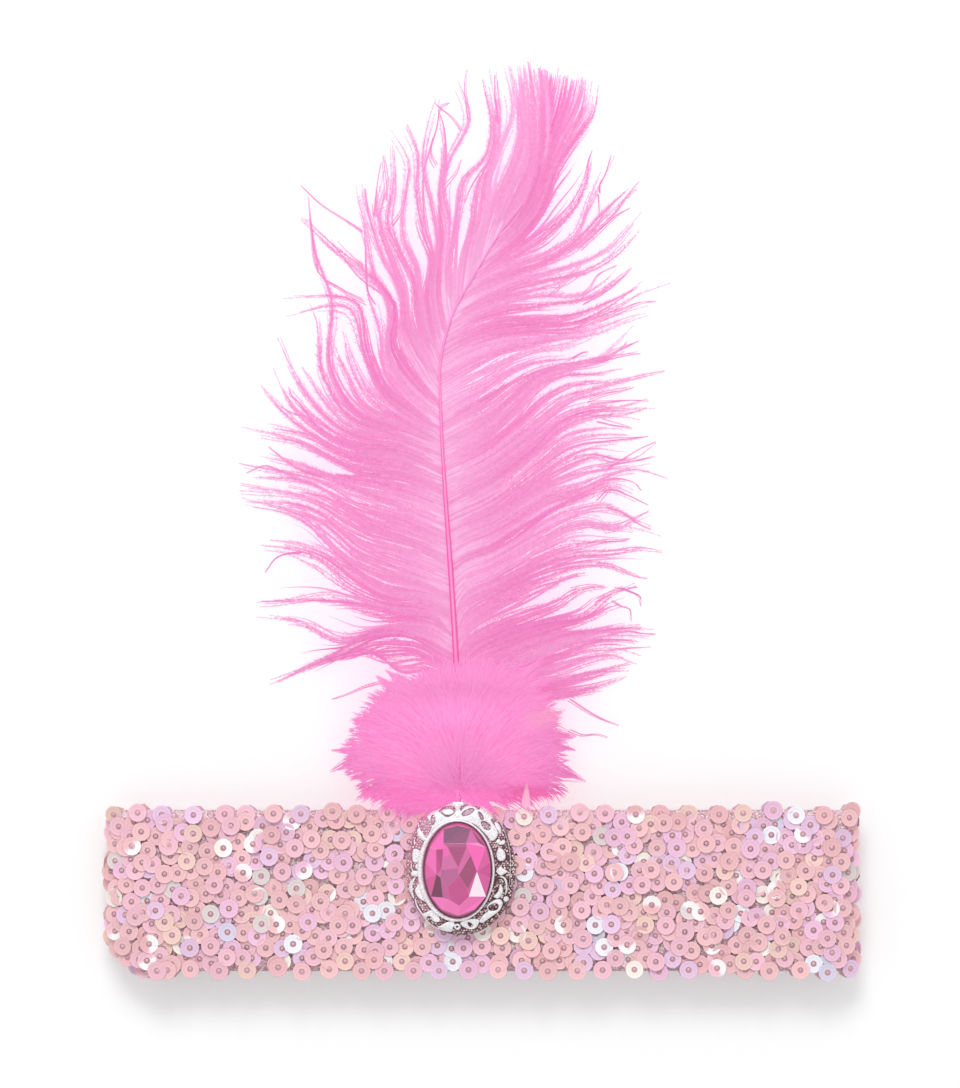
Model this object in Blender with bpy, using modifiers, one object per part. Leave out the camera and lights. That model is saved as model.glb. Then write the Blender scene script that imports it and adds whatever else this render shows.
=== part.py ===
"""Flapper headband: a sequined stretch band with a jewelled setting and an ostrich plume, lying flat.

The band is a loop laid down, so that its two layers lie one above the other.
X runs along the band, +Y points to the plume's tip and +Z up from the surface that it lies on.
The origin is the middle of the band's underside. All sizes are in metres.
"""

import math

import bmesh
import bpy
import numpy as np
from mathutils import Euler, Matrix, Vector

# Space left between neighbouring pieces
GAP = 0.0003

# Band, from the surface up: sequins, cloth, the hollow for the head, cloth, sequins
BAND_WIDTH = 0.198
CLOTH_HEIGHT = 0.042
CLOTH_WALL = 0.0011
SEQUIN_SKIN = 0.0006
HOLLOW = 0.007
BAND_THICK = 2 * (SEQUIN_SKIN + GAP + CLOTH_WALL) + HOLLOW
FOLD_RADIUS = BAND_THICK / 2
FOLD_X = BAND_WIDTH / 2 - FOLD_RADIUS
FOLD_STEPS = 10

# Sequins whose edges stand out past the cloth
SEQUIN_RADIUS = 0.0026
SEQUIN_OVERHANG = 0.0023
EDGE_SEQUINS = 28
SCALLOP_SHARES = (-0.99, -0.72, -0.34, 0.34, 0.72, 0.99)

# Stone: half width, half height, and levels above the setting's underside
STONE_CENTRE = (-0.0061, 0.0064)
STONE_HALF = (0.00885, 0.0125)
STONE_BASE = 0.0032
STONE_GIRDLE = 0.0040
STONE_TABLE = 0.0070
GIRDLE_POINTS = 24

# Table's corners and the crown's lower corners, as shares of the stone's half width and height
TABLE_CORNERS = ((-0.34, 0.51), (0.25, 0.51), (0.54, -0.02), (0.31, -0.54), (-0.33, -0.54), (-0.56, 0.0))
CROWN_CORNERS = (
    (-0.46, 0.83),
    (0.40, 0.85),
    (0.80, 0.48),
    (0.93, -0.03),
    (0.80, -0.54),
    (0.36, -0.86),
    (-0.38, -0.86),
    (-0.74, -0.56),
    (-0.93, -0.02),
    (-0.72, 0.50),
)

# Setting: an oval frame whose border runs from the stone's seat out to the rim
SETTING_CENTRE = (-0.0056, 0.0059)
SETTING_HALF = (0.0145, 0.01705)
SETTING_BASE = BAND_THICK + GAP
SEAT_LEVEL = STONE_BASE - GAP
SETTING_STEPS = 40

# Border's section: share of the way from seat to rim, height above the setting's underside
BORDER = (
    (0.00, SEAT_LEVEL),
    (0.00, 0.0042),
    (0.07, 0.0045),
    (0.15, 0.0039),
    (0.42, 0.0041),
    (0.70, 0.0033),
    (0.87, 0.0021),
    (0.93, 0.0022),
    (1.00, 0.0014),
    (1.00, 0.0),
)

# Raised leaves, scrolls and balls of the border, clockwise from the top:
# x and y from the setting's centre, length, width, turn of the length in degrees
RELIEF = (
    (0.0018, 0.0155, 0.0042, 0.0027, 22),
    (0.0064, 0.0143, 0.0044, 0.0027, -42),
    (0.0066, 0.0112, 0.0032, 0.0018, -50),
    (0.0086, 0.0094, 0.0050, 0.0026, -70),
    (0.0104, 0.0106, 0.0030, 0.0015, -58),
    (0.0112, 0.0073, 0.0022, 0.0017, -60),
    (0.0106, 0.0042, 0.0044, 0.0029, 88),
    (0.0110, 0.0002, 0.0030, 0.0026, 10),
    (0.0104, -0.0043, 0.0056, 0.0031, 76),
    (0.0123, -0.0072, 0.0016, 0.0016, 0),
    (0.0086, -0.0094, 0.0060, 0.0031, 50),
    (0.0056, -0.0126, 0.0038, 0.0022, 34),
    (0.0018, -0.0142, 0.0034, 0.0021, -14),
    (-0.0010, -0.0148, 0.0014, 0.0014, 0),
    (-0.0044, -0.0139, 0.0044, 0.0021, -18),
    (-0.0077, -0.0116, 0.0034, 0.0030, -40),
    (-0.0100, -0.0085, 0.0040, 0.0027, -58),
    (-0.0113, -0.0046, 0.0048, 0.0028, 104),
    (-0.0117, -0.0010, 0.0022, 0.0016, 0),
    (-0.0117, 0.0013, 0.0021, 0.0019, 0),
    (-0.0116, 0.0044, 0.0038, 0.0022, 88),
    (-0.0108, 0.0080, 0.0038, 0.0020, 108),
    (-0.0090, 0.0110, 0.0036, 0.0028, 55),
    (-0.0065, 0.0136, 0.0046, 0.0026, 38),
    (-0.0035, 0.0154, 0.0044, 0.0027, 12),
)
RELIEF_RISE = 0.0009

# Crown-shaped finial at the top of the border: its x, its outline and its two levels
FINIAL_X = -0.0009
FINIAL_OUTLINE = ((0.0006, 0.0135), (0.0005, 0.0161), (0.0014, 0.0172), (0.0016, 0.0181))
FINIAL_LEVELS = (0.0024, 0.0044)

# Quill: its route seen from above, foot to tip, and its radii at four places along Y
QUILL_ROUTE = (
    (-0.0061, 0.0020),
    (-0.0064, 0.0250),
    (-0.0068, 0.0600),
    (-0.0082, 0.0840),
    (-0.0098, 0.1065),
    (-0.0109, 0.1270),
    (-0.0108, 0.1420),
    (-0.0076, 0.1535),
    (-0.0013, 0.1650),
    (0.0052, 0.1755),
    (0.0115, 0.1835),
    (0.0156, 0.1925),
    (0.0186, 0.2060),
    (0.0204, 0.2190),
)
QUILL_RADII = ((0.0020, 0.00095), (0.0780, 0.0008), (0.1300, 0.0005), (0.2190, 0.0003))
QUILL_LEVEL = BAND_THICK + GAP + QUILL_RADII[0][1]
QUILL_TIP_LEVEL = 0.0042
QUILL_STEP = 0.0045

# Slot under the setting that the quill's foot lies in
SLOT_HALF_WIDTH = QUILL_RADII[0][1] + GAP
SLOT_HEIGHT = 2 * QUILL_RADII[0][1] + GAP
SLOT_BELOW_CENTRE = 0.0045

# Locks of the vane, base to tip: y of the lock's foot on the quill, left tip x and y, right tip x and y
LOCKS = (
    (0.0635, -0.0566, 0.0543, 0.0450, 0.0640),
    (0.0705, -0.0612, 0.0758, 0.0463, 0.0828),
    (0.0785, -0.0600, 0.0918, 0.0470, 0.0925),
    (0.0875, -0.0665, 0.1062, 0.0444, 0.1037),
    (0.0970, -0.0640, 0.1150, 0.0512, 0.1098),
    (0.1060, -0.0612, 0.1295, 0.0435, 0.1262),
    (0.1150, -0.0560, 0.1480, 0.0489, 0.1382),
    (0.1240, -0.0527, 0.1574, 0.0484, 0.1545),
    (0.1340, -0.0508, 0.1812, 0.0513, 0.1637),
    (0.1445, -0.0350, 0.1884, 0.0420, 0.1828),
    (0.1560, -0.0249, 0.2048, 0.0423, 0.1889),
    (0.1670, -0.0110, 0.2135, 0.0345, 0.1963),
    (0.1780, -0.0005, 0.2165, 0.0318, 0.2080),
    (0.1890, 0.0095, 0.2188, 0.0310, 0.2137),
    (0.2010, 0.0165, 0.2208, 0.0275, 0.2168),
)
ROWS_A_LOCK = 4
NOTCH_DEPTH = 0.30
BARB_SHARES = (0.12, 0.34, 0.56, 0.78, 1.0)
LEFT_BEND = (0.58, 0.28)
RIGHT_BEND = (0.52, 0.42)
VANE_ARCH = 0.0012
VANE_ROOT_THICK = 0.0018
VANE_TIP_THICK = 0.0005
VANE_TIP_LEVEL = 0.0008

# Down puff round the quill's foot: outline as angle in degrees from +X and distance from its centre
PUFF_CENTRE = (-0.0058, 0.0410)
PUFF_OUTLINE = (
    (0, 0.0380),
    (22, 0.0450),
    (40, 0.0350),
    (60, 0.0255),
    (92, 0.0222),
    (115, 0.0225),
    (138, 0.0246),
    (168, 0.0285),
    (188, 0.0322),
    (200, 0.0340),
    (218, 0.0290),
    (238, 0.0242),
    (252, 0.0190),
    (270, 0.0176),
    (290, 0.0187),
    (318, 0.0258),
    (332, 0.0345),
    (345, 0.0330),
)
PUFF_LOCKS = 24
PUFF_NOTCH = 0.14
PUFF_RINGS = 4
PUFF_LEVEL = 0.0127
PUFF_RISE = 0.0062
PUFF_DROP = 0.0075
PUFF_DROP_FROM = 0.0270
PUFF_DROP_TO = 0.0570
PUFF_DROOP = 0.0048

# Material name: colour, roughness, metallic
MATERIALS = {
    "mauve_knit": ((0.52, 0.42, 0.47), 0.85, 0.0),
    "pink_sequin": ((0.82, 0.52, 0.60), 0.25, 0.0),
    "silver": ((0.80, 0.78, 0.78), 0.25, 1.0),
    "pink_crystal": ((0.75, 0.16, 0.42), 0.08, 0.0),
    "pink_quill": ((0.86, 0.22, 0.52), 0.5, 0.0),
    "pink_feather": ((0.93, 0.34, 0.64), 0.8, 0.0),
    "pink_down": ((0.93, 0.29, 0.60), 0.9, 0.0),
}


def clear_scene():
    for obj in list(bpy.data.objects):
        bpy.data.objects.remove(obj, do_unlink=True)


def new_collection(name):
    collection = bpy.data.collections.new(name)
    bpy.context.scene.collection.children.link(collection)
    return collection


def new_material(name):
    colour, roughness, metallic = MATERIALS[name]
    material = bpy.data.materials.new(name)
    material.use_nodes = True
    shader = material.node_tree.nodes["Principled BSDF"]
    shader.inputs["Base Color"].default_value = (*colour, 1.0)
    shader.inputs["Roughness"].default_value = roughness
    shader.inputs["Metallic"].default_value = metallic
    return material


def new_object(name, data, collection, material=None):
    obj = bpy.data.objects.new(name, data)
    collection.objects.link(obj)
    if material:
        obj.data.materials.append(new_material(material))
    return obj


def mesh_object(name, vertices, faces, collection, material=None):
    mesh = bpy.data.meshes.new(name)
    mesh.from_pydata(vertices, [], faces)
    return new_object(name, mesh, collection, material)


def face_outwards(obj):
    shape = bmesh.new()
    shape.from_mesh(obj.data)
    bmesh.ops.recalc_face_normals(shape, faces=shape.faces)
    shape.to_mesh(obj.data)
    shape.free()


def smooth(obj, sharp_degrees=35):
    obj.data.shade_smooth()
    obj.data.set_sharp_from_angle(angle=math.radians(sharp_degrees))


def as_mesh(obj):
    """The object with its curve or its modifiers turned into a plain welded mesh."""
    bpy.context.view_layer.update()
    evaluated = obj.evaluated_get(bpy.context.evaluated_depsgraph_get())
    mesh = bpy.data.meshes.new_from_object(evaluated)
    shape = bmesh.new()
    shape.from_mesh(mesh)
    bmesh.ops.remove_doubles(shape, verts=shape.verts, dist=1e-6)
    shape.to_mesh(mesh)
    shape.free()
    name, collection, place = obj.name, obj.users_collection[0], obj.matrix_world.copy()
    bpy.data.objects.remove(obj, do_unlink=True)
    solid = bpy.data.objects.new(name, mesh)
    solid.matrix_world = place
    collection.objects.link(solid)
    return solid


def combine(target, other, operation):
    """The target with the other object joined to it or cut from it; the other is used up."""
    boolean = target.modifiers.new(operation.lower(), "BOOLEAN")
    boolean.operation = operation
    boolean.solver = "EXACT"
    boolean.object = other
    result = as_mesh(target)
    bpy.data.objects.remove(other, do_unlink=True)
    return result


def lerp(start, end, share):
    return start + (end - start) * share


def ease(share):
    share = min(max(share, 0.0), 1.0)
    return share * share * (3 - 2 * share)


def smooth_curve(table, at):
    """The second column at a place in the first, along a smooth curve through the table's rows."""
    places = np.array([row[0] for row in table])
    values = np.array([row[1] for row in table])
    slopes = np.gradient(values, places)
    i = int(np.clip(np.searchsorted(places, at) - 1, 0, len(places) - 2))
    span = places[i + 1] - places[i]
    t = (at - places[i]) / span
    low = (2 * t**3 - 3 * t**2 + 1) * values[i] + (t**3 - 2 * t**2 + t) * span * slopes[i]
    high = (3 * t**2 - 2 * t**3) * values[i + 1] + (t**3 - t**2) * span * slopes[i + 1]
    return float(low + high)


# Band
def fold_point(run, radius, facing):
    """X and z at a run along one layer's outer face, on the shell of this radius round the folds."""
    turn = max(abs(run) - FOLD_X, 0.0) / FOLD_RADIUS
    x = math.copysign(min(abs(run), FOLD_X) + radius * math.sin(turn), run)
    return x, FOLD_RADIUS + facing * radius * math.cos(turn)


def skin_stations():
    """Runs along a layer, each with the sequins' reach from the band's middle line."""
    half_run = FOLD_X + FOLD_RADIUS * math.pi / 2 - GAP / 2
    pitch = 2 * half_run / EDGE_SEQUINS
    cloth_edge = CLOTH_HEIGHT / 2
    stations = [(-half_run, cloth_edge)]
    for i in range(EDGE_SEQUINS):
        centre = -half_run + (i + 0.5) * pitch
        for share in SCALLOP_SHARES:
            bulge = SEQUIN_RADIUS * math.sqrt(1 - share * share)
            reach = cloth_edge + SEQUIN_OVERHANG - SEQUIN_RADIUS + bulge
            stations.append((centre + share * SEQUIN_RADIUS, reach))
    stations.append((half_run, cloth_edge))
    return stations


def strip(name, places, thickness, closed, collection, material):
    """A band of cloth or sequins: x, z and reach of each place, thickened towards its inside."""
    vertices = []
    for x, z, reach in places:
        vertices += [(x, -reach, z), (x, reach, z)]
    count = len(places)
    pairs = [(i, (i + 1) % count) for i in range(count if closed else count - 1)]
    faces = [(2 * i, 2 * j, 2 * j + 1, 2 * i + 1) for i, j in pairs]
    obj = mesh_object(name, vertices, faces, collection, material)
    shell = obj.modifiers.new("thickness", "SOLIDIFY")
    shell.thickness = thickness
    shell.offset = -1.0
    shell.use_even_offset = True
    return obj


def sequin_skin(name, facing, collection):
    places = [(*fold_point(run, FOLD_RADIUS, facing), reach) for run, reach in skin_stations()]
    if facing < 0:
        places.reverse()
    return strip(name, places, SEQUIN_SKIN, False, collection, "pink_sequin")


def stretch_band(collection):
    radius = FOLD_RADIUS - SEQUIN_SKIN - GAP
    places = []
    for side in (1, -1):
        for i in range(FOLD_STEPS + 1):
            turn = math.pi * i / FOLD_STEPS
            x = side * (FOLD_X + radius * math.sin(turn))
            places.append((x, FOLD_RADIUS + side * radius * math.cos(turn), CLOTH_HEIGHT / 2))
    return strip("stretch_band", places, CLOTH_WALL, True, collection, "mauve_knit")


# Jewel
def oval(centre, half, level, steps):
    ring = []
    for i in range(steps):
        turn = 2 * math.pi * i / steps
        ring.append((centre[0] + half[0] * math.cos(turn), centre[1] + half[1] * math.sin(turn), level))
    return ring


def border_ring(share, height):
    seat = [size + GAP for size in STONE_HALF]
    centre = [lerp(a, b, share) for a, b in zip(STONE_CENTRE, SETTING_CENTRE)]
    half = [lerp(a, b, share) for a, b in zip(seat, SETTING_HALF)]
    return oval(centre, half, SETTING_BASE + height, SETTING_STEPS)


def border_share(x, y):
    """How far out on the border a place lies, with x and y from the setting's centre."""
    seat = [size + GAP for size in STONE_HALF]
    offset = [s - c for s, c in zip(STONE_CENTRE, SETTING_CENTRE)]
    low, high = 0.0, 1.0
    for _ in range(20):
        share = (low + high) / 2
        half = [lerp(a, b, share) for a, b in zip(seat, SETTING_HALF)]
        centre = [lerp(o, 0.0, share) for o in offset]
        outside = math.hypot((x - centre[0]) / half[0], (y - centre[1]) / half[1]) > 1
        low, high = (share, high) if outside else (low, share)
    return low


def border_height(share):
    upper = BORDER[1:-1]
    return float(np.interp(share, [row[0] for row in upper], [row[1] for row in upper]))


def setting_frame(collection):
    rings = [border_ring(share, height) for share, height in BORDER]
    vertices = [point for ring in rings for point in ring]
    faces = []
    for level in range(len(rings) - 1):
        for i in range(SETTING_STEPS):
            here = level * SETTING_STEPS
            above = here + SETTING_STEPS
            j = (i + 1) % SETTING_STEPS
            faces.append((here + i, here + j, above + j, above + i))
    faces.append(tuple(range(SETTING_STEPS)))
    faces.append(tuple(range((len(rings) - 1) * SETTING_STEPS, len(rings) * SETTING_STEPS)))
    frame = mesh_object("jewel_setting", vertices, faces, collection)
    face_outwards(frame)
    return frame


def relief_piece(x, y, length, width, turn, collection):
    shape = bmesh.new()
    bmesh.ops.create_icosphere(shape, subdivisions=2, radius=1.0)
    half = Vector((length / 2, width / 2, RELIEF_RISE))
    spin = Euler((0.0, 0.0, math.radians(turn))).to_matrix().to_4x4()
    height = SETTING_BASE + border_height(border_share(x, y))
    place = Matrix.Translation((SETTING_CENTRE[0] + x, SETTING_CENTRE[1] + y, height))
    shape.transform(place @ spin @ Matrix.Diagonal((*half, 1.0)))
    mesh = bpy.data.meshes.new("relief")
    shape.to_mesh(mesh)
    shape.free()
    return new_object("relief", mesh, collection)


def finial(collection):
    """The small flared bar at the top, a flat outline mirrored about its own middle."""
    right = list(FINIAL_OUTLINE)
    outline = right + [(-x, y) for x, y in reversed(right)]
    curve = bpy.data.curves.new("finial", "CURVE")
    curve.dimensions = "2D"
    curve.fill_mode = "BOTH"
    curve.extrude = (FINIAL_LEVELS[1] - FINIAL_LEVELS[0]) / 2
    spline = curve.splines.new("POLY")
    spline.points.add(len(outline) - 1)
    for point, (x, y) in zip(spline.points, outline):
        point.co = (x, y, 0.0, 1.0)
    spline.use_cyclic_u = True
    obj = new_object("finial", curve, collection)
    middle = SETTING_BASE + sum(FINIAL_LEVELS) / 2
    obj.location = (SETTING_CENTRE[0] + FINIAL_X, SETTING_CENTRE[1], middle)
    return as_mesh(obj)


def quill_slot(collection):
    """The cutter for the slot under the setting, open at the top edge."""
    shape = bmesh.new()
    bmesh.ops.create_cube(shape, size=1.0)
    start = SETTING_CENTRE[1] - SLOT_BELOW_CENTRE
    end = SETTING_CENTRE[1] + 2 * SETTING_HALF[1]
    height = SLOT_HEIGHT + GAP
    size = Matrix.Diagonal((2 * SLOT_HALF_WIDTH, end - start, height, 1.0))
    middle = SETTING_BASE - GAP + height / 2
    shape.transform(Matrix.Translation((QUILL_ROUTE[0][0], (start + end) / 2, middle)) @ size)
    mesh = bpy.data.meshes.new("slot")
    shape.to_mesh(mesh)
    shape.free()
    return new_object("slot", mesh, collection)


def jewel_setting(collection, cutters):
    setting = setting_frame(collection)
    for x, y, length, width, turn in RELIEF:
        setting = combine(setting, relief_piece(x, y, length, width, turn, cutters), "UNION")
    setting = combine(setting, finial(cutters), "UNION")
    setting = combine(setting, quill_slot(cutters), "DIFFERENCE")
    setting.data.materials.append(new_material("silver"))
    smooth(setting, 45)
    return setting


def crown_level(x, y):
    """Height of the stone's lower crown corners, on a dome from the girdle to the table."""
    return lerp(STONE_TABLE, STONE_GIRDLE, 0.62 * (x * x + y * y))


def oval_stone(collection):
    table = [(x, y, STONE_TABLE) for x, y in TABLE_CORNERS]
    crown = [(x, y, crown_level(x, y)) for x, y in CROWN_CORNERS]
    corners = []
    for x, y, level in table + crown:
        place = (STONE_CENTRE[0] + x * STONE_HALF[0], STONE_CENTRE[1] + y * STONE_HALF[1])
        corners.append((*place, SETTING_BASE + level))
    for level in (STONE_GIRDLE, STONE_BASE):
        corners += oval(STONE_CENTRE, STONE_HALF, SETTING_BASE + level, GIRDLE_POINTS)
    shape = bmesh.new()
    for corner in corners:
        shape.verts.new(corner)
    bmesh.ops.convex_hull(shape, input=shape.verts)
    bmesh.ops.recalc_face_normals(shape, faces=shape.faces)
    mesh = bpy.data.meshes.new("oval_stone")
    shape.to_mesh(mesh)
    shape.free()
    return new_object("oval_stone", mesh, collection, "pink_crystal")


# Feather
def quill_point(y):
    route = [(row[1], row[0]) for row in QUILL_ROUTE]
    share = ease((y - CLOTH_HEIGHT / 2) / (QUILL_ROUTE[-1][1] - CLOTH_HEIGHT / 2))
    return Vector((smooth_curve(route, y), y, lerp(QUILL_LEVEL, QUILL_TIP_LEVEL, share)))


def quill_side(y):
    """The level direction to the quill's right."""
    step = 0.0005
    along = quill_point(y + step) - quill_point(y - step)
    return Vector((along.y, -along.x, 0.0)).normalized()


def quill_radius(y):
    return float(np.interp(y, [row[0] for row in QUILL_RADII], [row[1] for row in QUILL_RADII]))


def vane_feet():
    """The y of each row of the vane on the quill, with its place in the table of locks."""
    feet = [row[0] for row in LOCKS]
    count = (len(LOCKS) - 1) * ROWS_A_LOCK + 1
    places = [i / ROWS_A_LOCK for i in range(count)]
    return [(float(np.interp(place, range(len(feet)), feet)), place) for place in places]


def quill_stations():
    """Every y that the quill's line has a point at, shared with the vane so that their gap is even."""
    first, last = QUILL_ROUTE[0][1], QUILL_ROUTE[-1][1]
    feet = [foot for foot, _ in vane_feet()]
    below = list(np.linspace(first, feet[0], round((feet[0] - first) / (2 * QUILL_STEP)) + 1))[:-1]
    above = list(np.linspace(feet[-1], last, round((last - feet[-1]) / QUILL_STEP) + 1))[1:]
    return below + feet + above


def tube(name, points, radii, collection, material=None):
    curve = bpy.data.curves.new(name, "CURVE")
    curve.dimensions = "3D"
    curve.bevel_depth = 1.0
    curve.bevel_resolution = 1
    curve.use_fill_caps = True
    spline = curve.splines.new("POLY")
    spline.points.add(len(points) - 1)
    for point, place, radius in zip(spline.points, points, radii):
        point.co = (*place, 1.0)
        point.radius = radius
    return new_object(name, curve, collection, material)


def quill(collection):
    stations = quill_stations()
    points = [quill_point(y) for y in stations]
    return tube("quill", points, [quill_radius(y) for y in stations], collection, "pink_quill")


def barb_point(foot, tip, bend, share):
    """A place on a barb that leaves the quill sideways and bends towards its tip."""
    reach = tip - foot
    control = foot + Vector((reach.x * bend[0], reach.y * bend[1]))
    return foot * (1 - share) ** 2 + control * 2 * share * (1 - share) + tip * share**2


def vane_half(foot_y, place, side):
    """Top and bottom points of one row, from the groove under the quill out to the lock's edge."""
    foot = quill_point(foot_y)
    across = quill_side(foot_y) * side
    wall = quill_radius(foot_y) + 1.2 * GAP
    columns = range(len(LOCKS))
    first = 1 if side < 0 else 3
    tip = Vector([float(np.interp(place, columns, [row[k] for row in LOCKS])) for k in (first, first + 1)])
    reach = 1 - NOTCH_DEPTH * (1 - abs(math.cos(math.pi * place)))
    bend = LEFT_BEND if side < 0 else RIGHT_BEND
    tops = [foot + across * wall - Vector((0, 0, wall))]
    tops.append(foot + across * (wall + GAP))
    thick = [VANE_ROOT_THICK - wall, VANE_ROOT_THICK]
    start = foot.to_2d() + across.to_2d() * (wall + GAP)
    for share in BARB_SHARES:
        spot = barb_point(start, tip, bend, share * reach)
        drop = lerp(foot.z, VANE_TIP_LEVEL, (share * reach) ** 1.3)
        level = drop + VANE_ARCH * math.sin(math.pi * share * reach)
        tops.append(Vector((spot.x, spot.y, level)))
        thick.append(lerp(VANE_ROOT_THICK, VANE_TIP_THICK, share))
    bottoms = [top - Vector((0, 0, depth)) for top, depth in zip(tops, thick)]
    return tops, bottoms


def plume(collection):
    rows = []
    for foot_y, place in vane_feet():
        left_tops, left_bottoms = vane_half(foot_y, place, -1)
        right_tops, right_bottoms = vane_half(foot_y, place, 1)
        tops = left_tops[::-1] + right_tops
        bottoms = left_bottoms[::-1] + right_bottoms
        rows.append(tops + bottoms[::-1])
    vertices = [point for row in rows for point in row]
    width = len(rows[0])
    faces = []
    for i in range(len(rows) - 1):
        for k in range(width):
            m = (k + 1) % width
            faces.append((i * width + k, i * width + m, (i + 1) * width + m, (i + 1) * width + k))
    for start in (0, (len(rows) - 1) * width):
        for k in range(width // 2 - 1):
            low = width - 1 - k
            faces.append((start + k, start + k + 1, start + low - 1, start + low))
    vane = mesh_object("plume", vertices, faces, collection, "pink_feather")
    face_outwards(vane)
    smooth(vane, 40)
    return vane


def puff_reach(angle, notch):
    angles = [row[0] for row in PUFF_OUTLINE]
    reaches = [row[1] for row in PUFF_OUTLINE]
    return float(np.interp(angle, angles, reaches, period=360)) * (1 - notch)


def puff_droop(spot):
    """How far the down sinks towards its edge, clear of the band."""
    away = (spot.to_2d() - Vector(PUFF_CENTRE)).length / max(row[1] for row in PUFF_OUTLINE)
    return PUFF_DROOP * away**2 * ease((spot.y - PUFF_DROP_FROM) / (PUFF_CENTRE[1] - PUFF_DROP_FROM))


def puff_drop(y):
    """How deep the down hangs below its rim: nothing over the band and over the vane."""
    share = (y - PUFF_DROP_FROM) / (PUFF_DROP_TO - PUFF_DROP_FROM)
    return PUFF_DROP * math.sin(math.pi * min(max(share, 0.0), 1.0))


def down_puff(collection, cutters):
    spokes = 2 * PUFF_LOCKS
    centre = Vector((*PUFF_CENTRE, PUFF_LEVEL))
    tops = [centre + Vector((0, 0, PUFF_RISE))]
    bottoms = [centre - Vector((0, 0, puff_drop(centre.y)))]
    for ring in range(1, PUFF_RINGS + 1):
        share = ring / PUFF_RINGS
        for i in range(spokes):
            notch = PUFF_NOTCH * share if i % 2 else 0.0
            angle = 360 * i / spokes
            reach = puff_reach(angle, notch) * share
            flat = Vector((math.cos(math.radians(angle)), math.sin(math.radians(angle)), 0.0)) * reach
            bulge = 1 - share * share
            spot = centre + flat
            spot.z -= puff_droop(spot)
            tops.append(spot + Vector((0, 0, PUFF_RISE * bulge)))
            if ring < PUFF_RINGS:
                bottoms.append(spot - Vector((0, 0, puff_drop(spot.y) * bulge)))
    under = len(tops)
    rim = 1 + (PUFF_RINGS - 1) * spokes

    def bottom(index):
        return under + index if index < rim else index

    faces = []
    for i in range(spokes):
        j = (i + 1) % spokes
        faces.append((0, 1 + i, 1 + j))
        faces.append((bottom(0), bottom(1 + j), bottom(1 + i)))
        for ring in range(PUFF_RINGS - 1):
            here, there = 1 + ring * spokes, 1 + (ring + 1) * spokes
            faces.append((here + i, there + i, there + j, here + j))
            faces.append((bottom(here + j), bottom(there + j), bottom(there + i), bottom(here + i)))
    puff = mesh_object("down_puff", tops + bottoms, faces, collection)
    face_outwards(puff)
    stations = [y for y in quill_stations() if y < PUFF_DROP_TO + PUFF_OUTLINE[0][1]]
    points = [quill_point(y) for y in stations]
    tunnel = as_mesh(tube("tunnel", points, [quill_radius(y) + 1.2 * GAP for y in stations], cutters))
    puff = combine(puff, tunnel, "DIFFERENCE")
    puff.data.materials.append(new_material("pink_down"))
    smooth(puff, 40)
    return puff


def main():
    clear_scene()
    parts = new_collection("flapper_headband")
    cutters = new_collection("cutters")
    sequin_skin("sequins_back", -1, parts)
    stretch_band(parts)
    sequin_skin("sequins_front", 1, parts)
    jewel_setting(parts, cutters)
    oval_stone(parts)
    quill(parts)
    plume(parts)
    down_puff(parts, cutters)


main()
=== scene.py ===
"""Looks of the flapper headband: cup sequins, cast setting, faceted stone and ostrich plume.

The band lies flat with its front up. X runs along it, +Y points to the plume's tip, +Z is up.
Lengths are in millimetres, and make_piece turns them into metres. The outlines of the jewel and
the corners of the stone are traced in photo pixels, and traced turns them into millimetres.
"""

import math

import bpy
import numpy as np
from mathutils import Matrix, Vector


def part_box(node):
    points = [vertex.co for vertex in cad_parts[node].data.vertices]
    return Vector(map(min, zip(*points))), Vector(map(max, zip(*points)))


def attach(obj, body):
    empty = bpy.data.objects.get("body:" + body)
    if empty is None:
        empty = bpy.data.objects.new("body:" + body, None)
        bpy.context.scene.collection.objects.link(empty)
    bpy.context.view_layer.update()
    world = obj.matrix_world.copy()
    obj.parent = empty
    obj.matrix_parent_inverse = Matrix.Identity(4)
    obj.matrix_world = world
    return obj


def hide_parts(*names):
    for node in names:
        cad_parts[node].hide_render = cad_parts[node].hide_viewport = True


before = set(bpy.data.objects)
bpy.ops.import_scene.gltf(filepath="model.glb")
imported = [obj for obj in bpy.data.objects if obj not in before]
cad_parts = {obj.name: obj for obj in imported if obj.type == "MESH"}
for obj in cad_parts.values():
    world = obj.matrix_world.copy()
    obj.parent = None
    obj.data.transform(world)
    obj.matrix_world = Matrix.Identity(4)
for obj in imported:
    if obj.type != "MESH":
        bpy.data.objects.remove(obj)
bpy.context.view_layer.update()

MM = 0.001
BODY = "root"
rng = np.random.default_rng(1925)


def box_corners(node):
    """Lowest and highest corner of a node's box, in millimetres."""
    return [np.array(corner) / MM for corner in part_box(node)]


# Band, in millimetres, read from the frame where the frame has it
band_high = box_corners("sequins_front")[1]
back_low = box_corners("sequins_back")[0]
cloth_low, cloth_high = box_corners("stretch_band")
BAND_THICK = float(band_high[2] - back_low[2])
FOLD_RADIUS = BAND_THICK / 2
FOLD_X = float(band_high[0]) - FOLD_RADIUS
CLOTH_WALL = 1.1
CLOTH_RADIUS = float(cloth_high[2] - cloth_low[2]) / 2
CLOTH_HALF = float(cloth_high[1])
HALF_RUN = FOLD_X + FOLD_RADIUS * math.pi / 2
SEQUIN_RADIUS = 2.5
EDGE_SEQUINS = 28
EDGE_LINE = float(band_high[1]) - SEQUIN_RADIUS

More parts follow.
